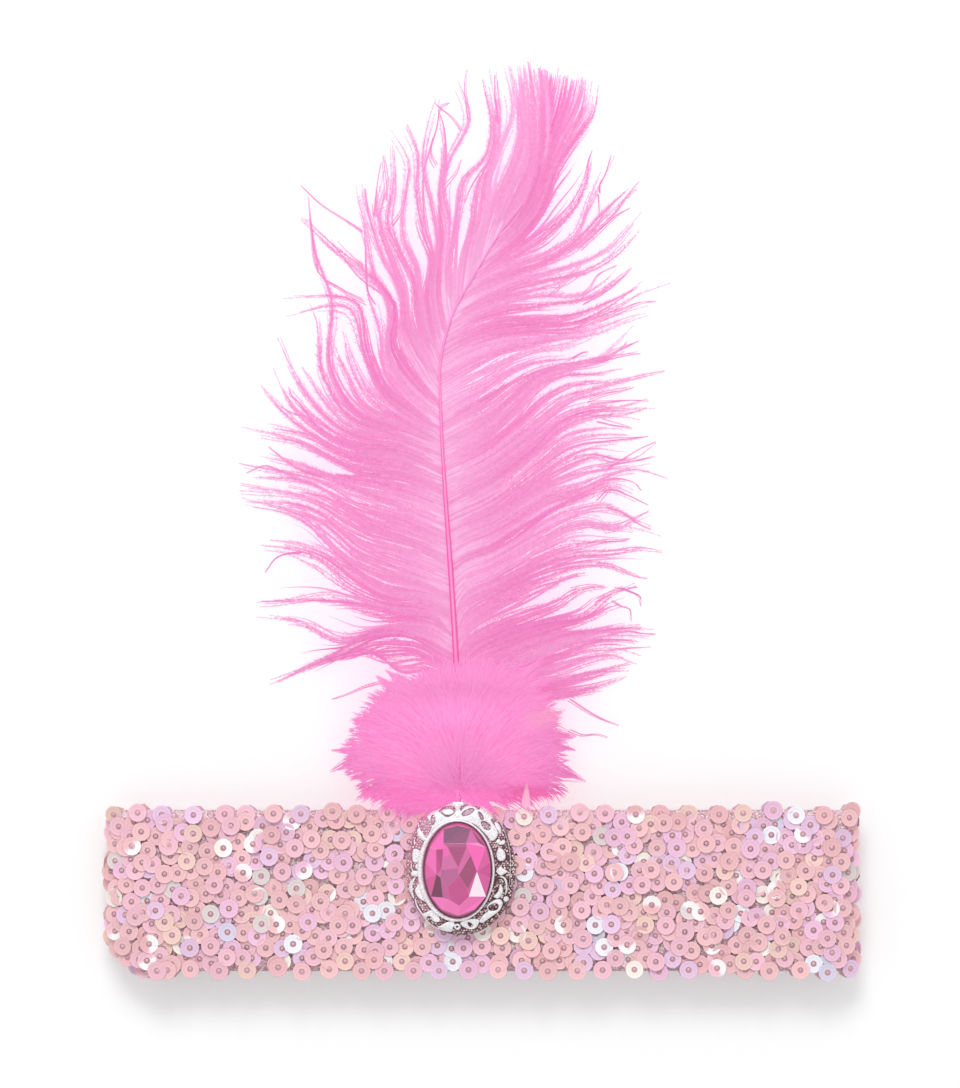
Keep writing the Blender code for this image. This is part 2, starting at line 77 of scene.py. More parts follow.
# Quill: x and y along its route from foot to tip, then y and radius
QUILL_ROUTE = (
    (-6.1, 2), (-6.4, 25), (-6.8, 60), (-8.2, 84), (-9.8, 106.5), (-10.9, 127), (-10.8, 142),
    (-7.6, 153.5), (-1.3, 165), (5.2, 175.5), (11.5, 183.5), (15.6, 192.5), (18.6, 206), (20.4, 219),
)
QUILL_RADII = ((2, 0.95), (85, 0.68), (117, 0.42), (143, 0.26), (167, 0.16), (219, 0.12))
QUILL_LEVEL = BAND_THICK + 0.3 + QUILL_RADII[0][1]
QUILL_TIP_LEVEL = 4.2
UP = np.array((0.0, 0.0, 1.0))


def linear(red, green, blue):
    """Screen values from 0 to 255 as the linear values that shaders take."""
    shares = np.array((red, green, blue)) / 255
    return np.where(shares <= 0.04045, shares / 12.92, ((shares + 0.055) / 1.055) ** 2.4)


def ease(share):
    """A soft step from 0 at share 0 to 1 at share 1."""
    share = np.clip(share, 0.0, 1.0)
    return share * share * (3 - 2 * share)


def fade(values, start, end):
    """A soft step from 0 where the values reach the start to 1 where they reach the end."""
    return ease((values - start) / (end - start))


def blend(start, end, share):
    """The start at share 0, the end at share 1, and a straight mix between them."""
    return start * (1 - share) + end * share


def lookup(table, at, period=None):
    """Values at places in a table: its first column holds the places, each other one a value."""
    place, *values = np.array(table).T
    found = [np.interp(at, place, value, period=period) for value in values]
    return found if len(found) > 1 else found[0]


def full_turn(steps):
    """Angles all the way round, in even steps."""
    return 2 * np.pi * np.arange(steps) / steps


def spokes(angles):
    """Directions x, y at these angles."""
    return np.stack([np.cos(angles), np.sin(angles)], -1)


def turned_left(headings):
    """Directions x, y a quarter turn to the left of these."""
    return np.stack([-headings[..., 1], headings[..., 0]], -1)


def unit(vectors):
    """The same directions at length 1."""
    return vectors / np.maximum(np.linalg.norm(vectors, axis=-1, keepdims=True), 1e-9)


def level_across(headings):
    """Level directions at right angles to these."""
    return unit(np.cross(headings, UP))


def circles(across, along, angles):
    """Points round a circle in the plane of each pair of directions."""
    return across[:, None] * np.cos(angles)[..., None] + along[:, None] * np.sin(angles)[..., None]


def smooth_curve(places, values, at):
    """Values at new places along a smooth curve through the given ones."""
    places, values, at = (np.asarray(a, float) for a in (places, values, at))
    slopes = np.gradient(values, places, axis=0)
    i = np.clip(np.searchsorted(places, at) - 1, 0, len(places) - 2)
    span = places[i + 1] - places[i]
    t = (at - places[i]) / span
    shape = t.shape + (1,) * (values.ndim - 1)
    t, span = t.reshape(shape), span.reshape(shape)
    low = (2 * t**3 - 3 * t**2 + 1) * values[i] + (t**3 - 2 * t**2 + t) * span * slopes[i]
    high = (3 * t**2 - 2 * t**3) * values[i + 1] + (t**3 - t**2) * span * slopes[i + 1]
    return low + high


# Pieces from arrays
def add_object(name, data):
    thing = bpy.data.objects.new(name, data)
    bpy.context.scene.collection.objects.link(thing)
    return thing


def make_piece(name, vertices, faces, material, replaced, tint=None, sharp=None):
    """A mesh from vertices in millimetres and faces of three or four corners, riding on the part."""
    vertices = np.asarray(vertices, np.float32).reshape(-1, 3) * np.float32(MM)
    faces = np.asarray(faces, np.int32)
    count, corners = faces.shape
    mesh = bpy.data.meshes.new(name)
    mesh.vertices.add(len(vertices))
    mesh.vertices.foreach_set("co", vertices.ravel())
    mesh.loops.add(count * corners)
    mesh.loops.foreach_set("vertex_index", faces.ravel())
    mesh.polygons.add(count)
    mesh.polygons.foreach_set("loop_start", np.arange(0, count * corners, corners, dtype=np.int32))
    mesh.update(calc_edges=True)
    if tint is not None:
        colours = np.ones((len(vertices), 4), np.float32)
        colours[:, :3] = np.asarray(tint).reshape(-1, 3)
        layer = mesh.color_attributes.new("tint", "FLOAT_COLOR", "POINT")
        layer.data.foreach_set("color", colours.ravel())
    mesh.shade_smooth()
    if sharp:
        mesh.set_sharp_from_angle(angle=math.radians(sharp))
    mesh.materials.append(material)
    piece = add_object(name, mesh)
    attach(piece, BODY)
    if replaced:
        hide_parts(replaced)
    return piece


class Patches:
    """Collects many small meshes of three- or four-cornered faces into one."""

    def __init__(self):
        self.vertices, self.faces, self.tints, self.count = [], [], [], 0

    def add(self, vertices, faces, tint):
        """Adds a mesh in one tint, or with a tint for each of its vertices."""
        vertices = np.asarray(vertices, float).reshape(-1, 3)
        if faces.shape[1] == 3:
            faces = np.column_stack([faces, faces[:, 2]])
        self.vertices.append(vertices)
        self.faces.append(faces + self.count)
        self.tints.append(np.broadcast_to(tint, vertices.shape))
        self.count += len(vertices)

    def piece(self, name, material, slot, replaced, sharp=None):
        """One object; a face whose last two corners are the same is a triangle."""
        vertices, tints = np.concatenate(self.vertices), np.concatenate(self.tints)
        quads = np.concatenate(self.faces)
        flat = quads[:, 2] == quads[:, 3]
        both = [quads[~flat][:, [0, 1, 2]], quads[~flat][:, [0, 2, 3]], quads[flat][:, :3]]
        return make_piece(name, vertices, np.concatenate(both), material, replaced, tints, sharp)


def ring_faces(rings, steps, closed_rings=False):
    """Four-cornered faces between rings of points."""
    last = rings if closed_rings else rings - 1
    k = np.arange(last)[:, None]
    i = np.arange(steps)[None, :]
    here, there = k * steps, ((k + 1) % rings) * steps
    j = (i + 1) % steps
    return np.stack([here + i, here + j, there + j, there + i], -1).reshape(-1, 4)


def fan_faces(corners, first=0):
    """Triangles that fill a flat ring of vertices from its first one."""
    i = first + np.arange(1, corners - 1)
    return np.stack([np.full(len(i), first), i, i + 1, i + 1], -1)


def cap_faces(centre, ring, steps, flipped=False):
    """Triangles from a centre vertex to each side of a ring of vertices."""
    i = np.arange(steps)
    j = (i + 1) % steps
    if flipped:
        i, j = j, i
    return np.stack([np.full(steps, centre), ring + i, ring + j, ring + j], -1)


def repeat_faces(faces, size, copies):
    """The faces of one small mesh, repeated for each of its copies."""
    return (faces[None] + size * np.arange(copies)[:, None, None]).reshape(-1, faces.shape[1])


# Materials
def set_inputs(node, **values):
    """Sets a node's inputs, with an underscore for each space in their names."""
    for name, value in values.items():
        node.inputs[name.replace("_", " ")].default_value = value


def new_material(name, **values):
    material = bpy.data.materials.new(name)
    material.use_nodes = True
    shader = material.node_tree.nodes["Principled BSDF"]
    set_inputs(shader, **values)
    return material, material.node_tree, shader


def add_node(tree, kind, **values):
    node = tree.nodes.new(kind)
    for name, value in values.items():
        setattr(node, name, value)
    return node


def add_texture(tree, kind, **inputs):
    """A texture that is fixed to the object."""
    place = add_node(tree, "ShaderNodeTexCoord")
    texture = add_node(tree, kind)
    set_inputs(texture, **inputs)
    tree.links.new(place.outputs["Object"], texture.inputs["Vector"])
    return texture


def noise(tree, scale):
    texture = add_texture(tree, "ShaderNodeTexNoise", Scale=scale, Detail=4.0, Roughness=0.55)
    return texture.outputs["Fac"]


def vary(tree, colour, factor, low, high):
    """The colour made darker and lighter by a factor's pattern, from low to high."""
    spread = add_node(tree, "ShaderNodeMapRange")
    set_inputs(spread, To_Min=low, To_Max=high)
    tree.links.new(factor, spread.inputs["Value"])
    scale = add_node(tree, "ShaderNodeVectorMath", operation="SCALE")
    tree.links.new(colour, scale.inputs[0])
    tree.links.new(spread.outputs["Result"], scale.inputs["Scale"])
    return scale.outputs["Vector"]


def bumped(tree, shader, height, strength, distance):
    bump = add_node(tree, "ShaderNodeBump")
    set_inputs(bump, Strength=strength, Distance=distance)
    tree.links.new(height, bump.inputs["Height"])
    tree.links.new(bump.outputs["Normal"], shader.inputs["Normal"])


def painted(name, scale, low, high, glow=0.0, bump=None, **values):
    """A material in the mesh's tint, made darker and lighter by fine noise.

    The glow is emission in the mesh's tint, painted light: on feather, down and quill it stands for light
    let through and lifts their shade, on silver it brightens the metal. Bump holds the scale of its noise,
    its strength and its distance, and the other values are the shader's.
    """
    material, tree, shader = new_material(name, **values)
    tint = add_node(tree, "ShaderNodeVertexColor", layer_name="tint")
    mottled = vary(tree, tint.outputs["Color"], noise(tree, scale), low, high)
    tree.links.new(mottled, shader.inputs["Base Color"])
    if glow:
        tree.links.new(mottled, shader.inputs["Emission Color"])
        set_inputs(shader, Emission_Strength=glow)
    if bump:
        bump_scale, *size = bump
        bumped(tree, shader, noise(tree, bump_scale), *size)
    return material


SEQUIN_LOOK = dict(scale=2400, low=0.87, high=1.1, bump=(1400, 0.12, 0.0002), Roughness=0.3,
                   Coat_Weight=0.35, Coat_Roughness=0.12, Specular_IOR_Level=0.55)
# Silver glows a little: painted light that brightens it
SILVER_LOOK = dict(scale=2600, low=0.2, high=1.66, glow=0.1, bump=(2200, 0.35, 0.0003), Metallic=0.25,
                   Roughness=0.34)
STONE_LOOK = dict(scale=260, low=0.94, high=1.06, Roughness=0.22, Coat_Weight=0.15, Coat_Roughness=0.08,
                  Specular_IOR_Level=0.35)
BARB_LOOK = dict(scale=700, Roughness=0.62, Sheen_Weight=0.1, Sheen_Roughness=0.4, Specular_IOR_Level=0.15)
# Glow of feather, quill and down: painted light that stands for light let through and lifts their shade
BARB_GLOW = 0.32
DOWN_GLOW = 0.42
# Specks of the knit, from dark to bright: where each colour begins
KNIT_STOPS = ((0, (184, 138, 150)), (0.3, (216, 170, 180)), (0.65, (234, 194, 204)), (0.92, (250, 236, 242)))


def knit_material():
    """Greyish mauve knit with a glitter of dark and bright specks."""
    material, tree, shader = new_material("mauve_knit", Roughness=0.7, Sheen_Weight=0.2)
    grains = add_texture(tree, "ShaderNodeTexVoronoi", Scale=2600.0)
    ramp = add_node(tree, "ShaderNodeValToRGB")
    while len(ramp.color_ramp.elements) < len(KNIT_STOPS):
        ramp.color_ramp.elements.new(0.5)
    for element, (position, colour) in zip(ramp.color_ramp.elements, KNIT_STOPS):
        element.position = position
        element.color = (*linear(*colour), 1.0)
    pick = add_node(tree, "ShaderNodeSeparateColor")
    tree.links.new(grains.outputs["Color"], pick.inputs["Color"])
    tree.links.new(pick.outputs["Red"], ramp.inputs["Fac"])
    tree.links.new(ramp.outputs["Color"], shader.inputs["Base Color"])
    bumped(tree, shader, grains.outputs["Distance"], strength=0.6, distance=0.0003)
    return material


# Camera, floor and light; what comes after the sensor is in metres and watts
PIXELS_PER_MM = 3.78
PHOTO_HEIGHT = 1088
VIEW_CENTRE = (-0.5, 92.1)
CAMERA_HEIGHT = 900.0
SENSOR = 36.0
CLIP_START = 0.01
FLOOR_HALF = 3.0
FLOOR_TONE = (0.8, 0.8, 0.8, 1.0)
FLOOR_GLOW = 0.2
WHITE = (1.0, 1.0, 1.0, 1.0)
SKY_STRENGTH = 0.73
KEY_PLACE = (-0.15, 1.1, 1.0)
KEY_AIM = (0.0, 0.06, 0.0)
KEY_SIZE = (0.7, 0.5)
KEY_POWER = 10.8


def add_camera():
    data = bpy.data.cameras.new("camera")
    data.sensor_width = SENSOR
    data.lens = SENSOR * CAMERA_HEIGHT / (PHOTO_HEIGHT / PIXELS_PER_MM)
    data.clip_start = CLIP_START
    camera = add_object("camera", data)
    camera.location = (VIEW_CENTRE[0] * MM, VIEW_CENTRE[1] * MM, (BAND_THICK + CAMERA_HEIGHT) * MM)
    bpy.context.scene.camera = camera


def add_floor():
    mesh = bpy.data.meshes.new("floor")
    corners = [(x * FLOOR_HALF, y * FLOOR_HALF, 0) for x, y in ((-1, -1), (1, -1), (1, 1), (-1, 1))]
    mesh.from_pydata(corners, [], [(0, 1, 2, 3)])
    material, _, shader = new_material("pale_floor", Roughness=0.9, Specular_IOR_Level=0.1)
    set_inputs(shader, Base_Color=FLOOR_TONE, Emission_Color=WHITE, Emission_Strength=FLOOR_GLOW)
    mesh.materials.append(material)
    add_object("floor", mesh)


def add_softbox():
    """A softbox past the plume's tip, facing the band, for the shadow below the band."""
    light = bpy.data.lights.new("key", "AREA")
    light.shape = "RECTANGLE"
    light.size, light.size_y = KEY_SIZE
    light.energy = KEY_POWER
    lamp = add_object("key", light)
    lamp.location = KEY_PLACE
    x, y, z = np.array(KEY_AIM) - np.array(KEY_PLACE)
    lamp.rotation_euler = (math.acos(-z / math.hypot(x, y, z)), 0.0, math.atan2(y, x) - math.pi / 2)


def add_light():
    world = bpy.data.worlds.new("studio")
    world.use_nodes = True
    set_inputs(world.node_tree.nodes["Background"], Color=WHITE, Strength=SKY_STRENGTH)
    bpy.context.scene.world = world
    add_softbox()
    bpy.context.scene.view_settings.view_transform = "Standard"


# Sequins
# Share and colour of the sequins' tones, from peach to lilac
SEQUIN_TONES = (
    (0.06, (245, 207, 198)), (0.10, (241, 187, 192)), (0.30, (245, 195, 200)), (0.03, (250, 240, 232)),
    (0.015, (227, 215, 215)), (0.24, (245, 193, 209)), (0.14, (243, 194, 222)), (0.08, (236, 200, 230)),
    (0.025, (244, 242, 252)), (0.01, (223, 215, 237)),
)
# Tones lie in patches: waves over the band as radians per millimetre in x and y, and a start
TONE_WAVES = ((0.13, 0.21, 0.0), (-0.19, 0.12, 2.0), (0.31, -0.05, 4.0), (0.07, -0.33, 1.0))
TONE_PULL = 0.17
TONE_SPREAD = 0.035
# Dark ring round each hole: partly the colour of thread and glue, partly painted shade at the hole's rim
HOLE_TONE = linear(206, 158, 168)
THREAD_TONE = linear(218, 170, 180)
# Painted highlights: a white glint over one side of some sequins, its colour, share and strength
GLINT_TONE = linear(255, 253, 254)
GLINT_SHARE = 0.07
GLINT_STRENGTH = 0.95
# A painted glint covers its side of the sequin: cosines of the angle where it begins and where it is full
GLINT_EDGE = (-0.35, 0.15)
# Rings of a cup sequin: share of its radius, height, lightness, 1 where the ring is dark. The lightness
# paints shading: the raised rim lighter, the edge darker, partly as shade where sequins overlap and partly
# as the sequin's deeper edge colour
SEQUIN_RINGS = (
    (0.25, 0.02, 1, 1), (0.32, 0.05, 1, 1), (0.35, 0.04, 0.98, 0), (0.56, 0.05, 1.02, 0),
    (0.61, 0.06, 0.94, 0), (0.9, 0.15, 1.03, 0), (0.94, 0.165, 1.04, 0), (0.98, 0.16, 0.86, 0),
    (1, 0.09, 0.8, 0), (0.28, -0.03, 0.95, 0),
)
SIZE_SPREAD = 0.02
FRONT_STEPS = 13
BACK_STEPS = 8
SEQUIN_SPACING = 3.75
# The field between the edge rows: its margin to them, distance of its rows as share of the spacing
FIELD_MARGIN = 2.6
ROW_SHARE = 0.866
# Scatter of the edge sequins along the loop and across it, and that of the field
EDGE_JITTER = (0.5, 0.35)
FIELD_JITTER = 0.75
SEQUIN_LEVELS = 5
LEVEL_STEP = 0.15
# The layers in front and behind: the way they face, depth of the lowest sequins below the band's skin,
# slip along y and tilt; the one behind is slipped so that it stays behind the upper edge
FRONT_LAYER = (1, 0.55, 0, 0.055)
BACK_LAYER = (-1, 0.95, -0.8, 0.02)
# Sequins in the folds turn outwards by this share of the fold
FOLD_LEAN = 0.35
# Rings of a thread knot: radius and height
THREAD_RINGS = ((0.55, -0.02), (0.42, 0.1), (0.18, 0.16))
THREAD_STEPS = 6
THREAD_LIGHTNESS = (0.85, 1.1)
# Nothing goes below this level, just above the floor
LOWEST = 0.05
# The lower left corner of the loop is drawn in: by how much, from which x and from which y
CORNER_DRAW = 9.5
CORNER_START = (-82, -13)


def drawn_in(x, y):
    """The x of places on the loop, with its lower left corner rounded as in the photo."""
    sideways = np.clip((CORNER_START[0] - x) / (FOLD_X + FOLD_RADIUS + CORNER_START[0]), 0, 1)
    down = np.clip((CORNER_START[1] - y) / (CLOTH_HALF + CORNER_START[1]), 0, 1)
    return x + CORNER_DRAW * sideways * down ** 2


def sequin_places():
    """Run and y of each sequin, front and back alike: two edge rows and a jittered field between them."""
    pitch = 2 * HALF_RUN / EDGE_SEQUINS
    runs = (np.arange(EDGE_SEQUINS) + 0.5) * pitch - HALF_RUN
    edge = np.array([(run, side * EDGE_LINE) for side in (-1, 1) for run in runs])
    edge += rng.normal(0, 1, edge.shape) * EDGE_JITTER
    top = EDGE_LINE - FIELD_MARGIN
    rows = round(2 * top / (SEQUIN_SPACING * ROW_SHARE)) + 1
    columns = round(2 * HALF_RUN / SEQUIN_SPACING)
    field = []
    for k, y in enumerate(np.linspace(-top, top, rows)):
        runs = (np.arange(columns) + 0.25 + 0.5 * (k % 2)) * 2 * HALF_RUN / columns - HALF_RUN
        field.append(np.column_stack([runs, np.full(columns, y)]))
    field = np.concatenate(field)
    field += rng.normal(0, FIELD_JITTER, field.shape)
    places = np.concatenate([edge, field])
    return places, np.arange(len(places)) < len(edge)


def stack_levels(places, on_edge):
    """A level for each sequin, unlike those of the sequins that it overlaps."""
    order = rng.permutation(len(places))
    levels = np.full(len(places), -1)
    for i in order:
        near = np.hypot(*(places - places[i]).T) < 2 * SEQUIN_RADIUS
        taken = set(levels[near & (levels >= 0)])
        free = [k for k in range(SEQUIN_LEVELS) if k not in taken] or list(range(SEQUIN_LEVELS))
        levels[i] = max(free) if on_edge[i] else rng.choice(free)
    return levels


def sequin_tones(centres):
    """A tone for each sequin; those that lie close together tend to the same end of the table."""
    count = len(centres)
    weights = np.array([row[0] for row in SEQUIN_TONES])
    tones = np.array([linear(*row[1]) for row in SEQUIN_TONES])
    wave_x, wave_y, start = np.array(TONE_WAVES).T
    field = np.sin(centres[:, :1] * wave_x + centres[:, 1:2] * wave_y + start).sum(1)
    rank = np.argsort(np.argsort(TONE_PULL * field + rng.uniform(0, 1, count)))
    steps = np.cumsum(weights) / weights.sum()
    picked = tones[np.minimum(np.searchsorted(steps, (rank + 0.5) / count), len(tones) - 1)]
    return picked * rng.normal(1.0, TONE_SPREAD, (count, 1))


def sequin_seats(places, on_edge, facing, sink, slip, tilt):
    """Centre, normal and two sideways directions of each sequin of one layer."""
    levels = stack_levels(places, on_edge)
    count = len(places)
    run, y = places[:, 0], places[:, 1] + slip
    turn = np.maximum(np.abs(run) - FOLD_X, 0) / FOLD_RADIUS
    side = np.sign(run)
    radius = FOLD_RADIUS - sink + LEVEL_STEP * levels
    x = side * (np.minimum(np.abs(run), FOLD_X) + radius * np.sin(turn))
    centres = np.stack([drawn_in(x, y), y, FOLD_RADIUS + facing * radius * np.cos(turn)], -1)
    lean = turn * FOLD_LEAN
    normals = np.stack([side * np.sin(lean), np.zeros(count), facing * np.cos(lean)], -1)
    normals = unit(normals + rng.normal(0, 1, (count, 3)) * tilt)
    across = unit(np.cross(normals, (0.0, 1.0, 0.0)))
    return centres, normals, across, np.cross(normals, across)


def sequin_layer(name, seats, steps, material, replaced):
    """Cup sequins with a dark ring round the hole, partly painted shade; some get a painted highlight
    on one side.
    """
    centres, normals, across, along = seats
    count = len(centres)
    angles = full_turn(steps) + rng.uniform(0, 1, (count, 1))
    flat = circles(across, along, angles)
    size = SEQUIN_RADIUS * rng.normal(1, SIZE_SPREAD, (count, 1, 1))
    tones = sequin_tones(centres)[:, None]
    glint = fade(np.cos(angles - rng.uniform(0, 2 * np.pi, (count, 1))), *GLINT_EDGE)
    glint *= rng.uniform(0, 1, (count, 1)) < GLINT_SHARE
    glint = glint[..., None] * GLINT_STRENGTH
    rings, tints = [], []
    for share, height, lightness, dark in SEQUIN_RINGS:
        rings.append(centres[:, None] + flat * size * share + normals[:, None] * height)
        # Painted light in the tint: each ring's lightness, the glint's white highlight, and shade on the
        # dark rings
        bright = blend(tones * lightness, GLINT_TONE, glint)
        tints.append(np.broadcast_to(HOLE_TONE * lightness, bright.shape) if dark else bright)
    vertices = np.stack(rings, 1)
    vertices[..., 2] = np.maximum(vertices[..., 2], LOWEST)
    faces = repeat_faces(ring_faces(len(rings), steps, True), len(rings) * steps, count)
    tints = np.clip(np.stack(tints, 1), 0, 1)
    make_piece(name, vertices, faces, material, replaced, tints, sharp=50)


def thread_knots(seats, material):
    """A small dome of thread in the hole of each sequin in front."""
    centres, normals, across, along = seats
    ring = circles(across, along, full_turn(THREAD_STEPS))
    rings = [centres[:, None] + ring * reach + normals[:, None] * height for reach, height in THREAD_RINGS]
    count, size = len(centres), len(rings) * THREAD_STEPS
    faces = [ring_faces(len(rings), THREAD_STEPS), fan_faces(THREAD_STEPS, size - THREAD_STEPS)]
    tones = np.clip(THREAD_TONE * rng.uniform(*THREAD_LIGHTNESS, (count, 1)), 0, 1)
    faces = repeat_faces(np.concatenate(faces), size, count)
    knots = Patches()
    knots.add(np.stack(rings, 1), faces, np.repeat(tones, size, 0))
    knots.piece("thread_knots", material, "pink_sequin", None)


# Knitted loop
RIB_PITCH = 1.5
RIB_DEPTH = 0.1
POINTS_PER_RIB = 4
KNIT_ROWS = 8


def knit_loop(material):
    """The whole loop of knit with its ribs, both faces and both edges."""
    middle = CLOTH_RADIUS - CLOTH_WALL / 2
    straight, arc = 2 * FOLD_X, math.pi * middle
    loop_length = 2 * straight + 2 * arc
    count = round(loop_length / RIB_PITCH) * POINTS_PER_RIB
    runs = np.arange(count) * loop_length / count
    ridge = RIB_DEPTH * np.cos(2 * np.pi * np.arange(count) / POINTS_PER_RIB)

    def shell(radius):
        """X and z of the loop at each run, on one face of the cloth."""
        part = np.mod(runs, straight + arc)
        half = np.where(runs < straight + arc, 1.0, -1.0)
        turn = np.maximum(part - straight, 0) / middle
        x = np.minimum(part, straight) - FOLD_X + radius * np.sin(turn)
        return half * x, FOLD_RADIUS + half * radius * np.cos(turn)

    outer = shell(middle + CLOTH_WALL / 2 - RIB_DEPTH + ridge)
    inner = shell(middle - CLOTH_WALL / 2 + RIB_DEPTH - ridge)
    ys = np.linspace(-CLOTH_HALF, CLOTH_HALF, KNIT_ROWS)
    rim = [(outer, y) for y in ys] + [(inner, y) for y in ys[::-1]]
    vertices = [np.stack([drawn_in(x, y), np.full(count, y), z], -1) for (x, z), y in rim]
    faces = ring_faces(len(rim), count, True)
    loop = make_piece("knit_loop", np.stack(vertices), faces, material, "stretch_band")


# Quill
QUILL_DEEP = linear(214, 76, 146)
QUILL_PALE = linear(230, 140, 194)
QUILL_SIDES = 12
QUILL_STATIONS = 110
# How narrow the pale line on top is, a painted highlight where light falls along the shaft, and the y
# between which the rest of the quill grows as pale
QUILL_GLEAM = 6
QUILL_FADE = (90, 180)


def quill_at(y):
    """Points of the quill's middle line at these places along y."""
    route = np.array(QUILL_ROUTE)
    x = smooth_curve(route[:, 1], route[:, 0], y)
    share = ease((y - CLOTH_HALF) / (route[-1, 1] - CLOTH_HALF))
    return np.stack([x, y, QUILL_LEVEL + (QUILL_TIP_LEVEL - QUILL_LEVEL) * share], -1)


def sweep(points, radii, sides, flatten=1.0):
    """A tube along points, with closed ends: its vertices and faces."""
    ahead = unit(np.gradient(points, axis=0))
    across = level_across(ahead)
    radii = np.broadcast_to(radii, (len(points),))[:, None, None]
    ring = circles(across, np.cross(across, ahead) * flatten, full_turn(sides))
    rings = points[:, None] + ring * radii
    ends = np.stack([points[0] - ahead[0] * radii[0, 0], points[-1] + ahead[-1] * radii[-1, 0]])
    size = len(points) * sides
    faces = [ring_faces(len(points), sides), cap_faces(size, 0, sides, True),
             cap_faces(size + 1, size - sides, sides)]
    return np.concatenate([rings.reshape(-1, 3), ends]), np.concatenate(faces)


def plume_shaft(material):
    """A tapered shaft with a paler line along its top, a painted highlight."""
    stations = np.linspace(QUILL_ROUTE[0][1], QUILL_ROUTE[-1][1], QUILL_STATIONS)
    vertices, faces = sweep(quill_at(stations), lookup(QUILL_RADII, stations), QUILL_SIDES)
    # Painted highlight: the top of the tube is tinted pale
    gleam = np.clip(np.sin(full_turn(QUILL_SIDES)), 0, 1) ** QUILL_GLEAM
    top_highlight = np.append(np.tile(gleam, QUILL_STATIONS), (0, 0))[:, None]
    sides = blend(QUILL_DEEP, QUILL_PALE, fade(vertices[:, 1:2], *QUILL_FADE))
    shaft = Patches()
    shaft.add(vertices, faces, blend(sides, QUILL_PALE, top_highlight))
    shaft.piece("plume_shaft", material, "pink_quill", "quill")


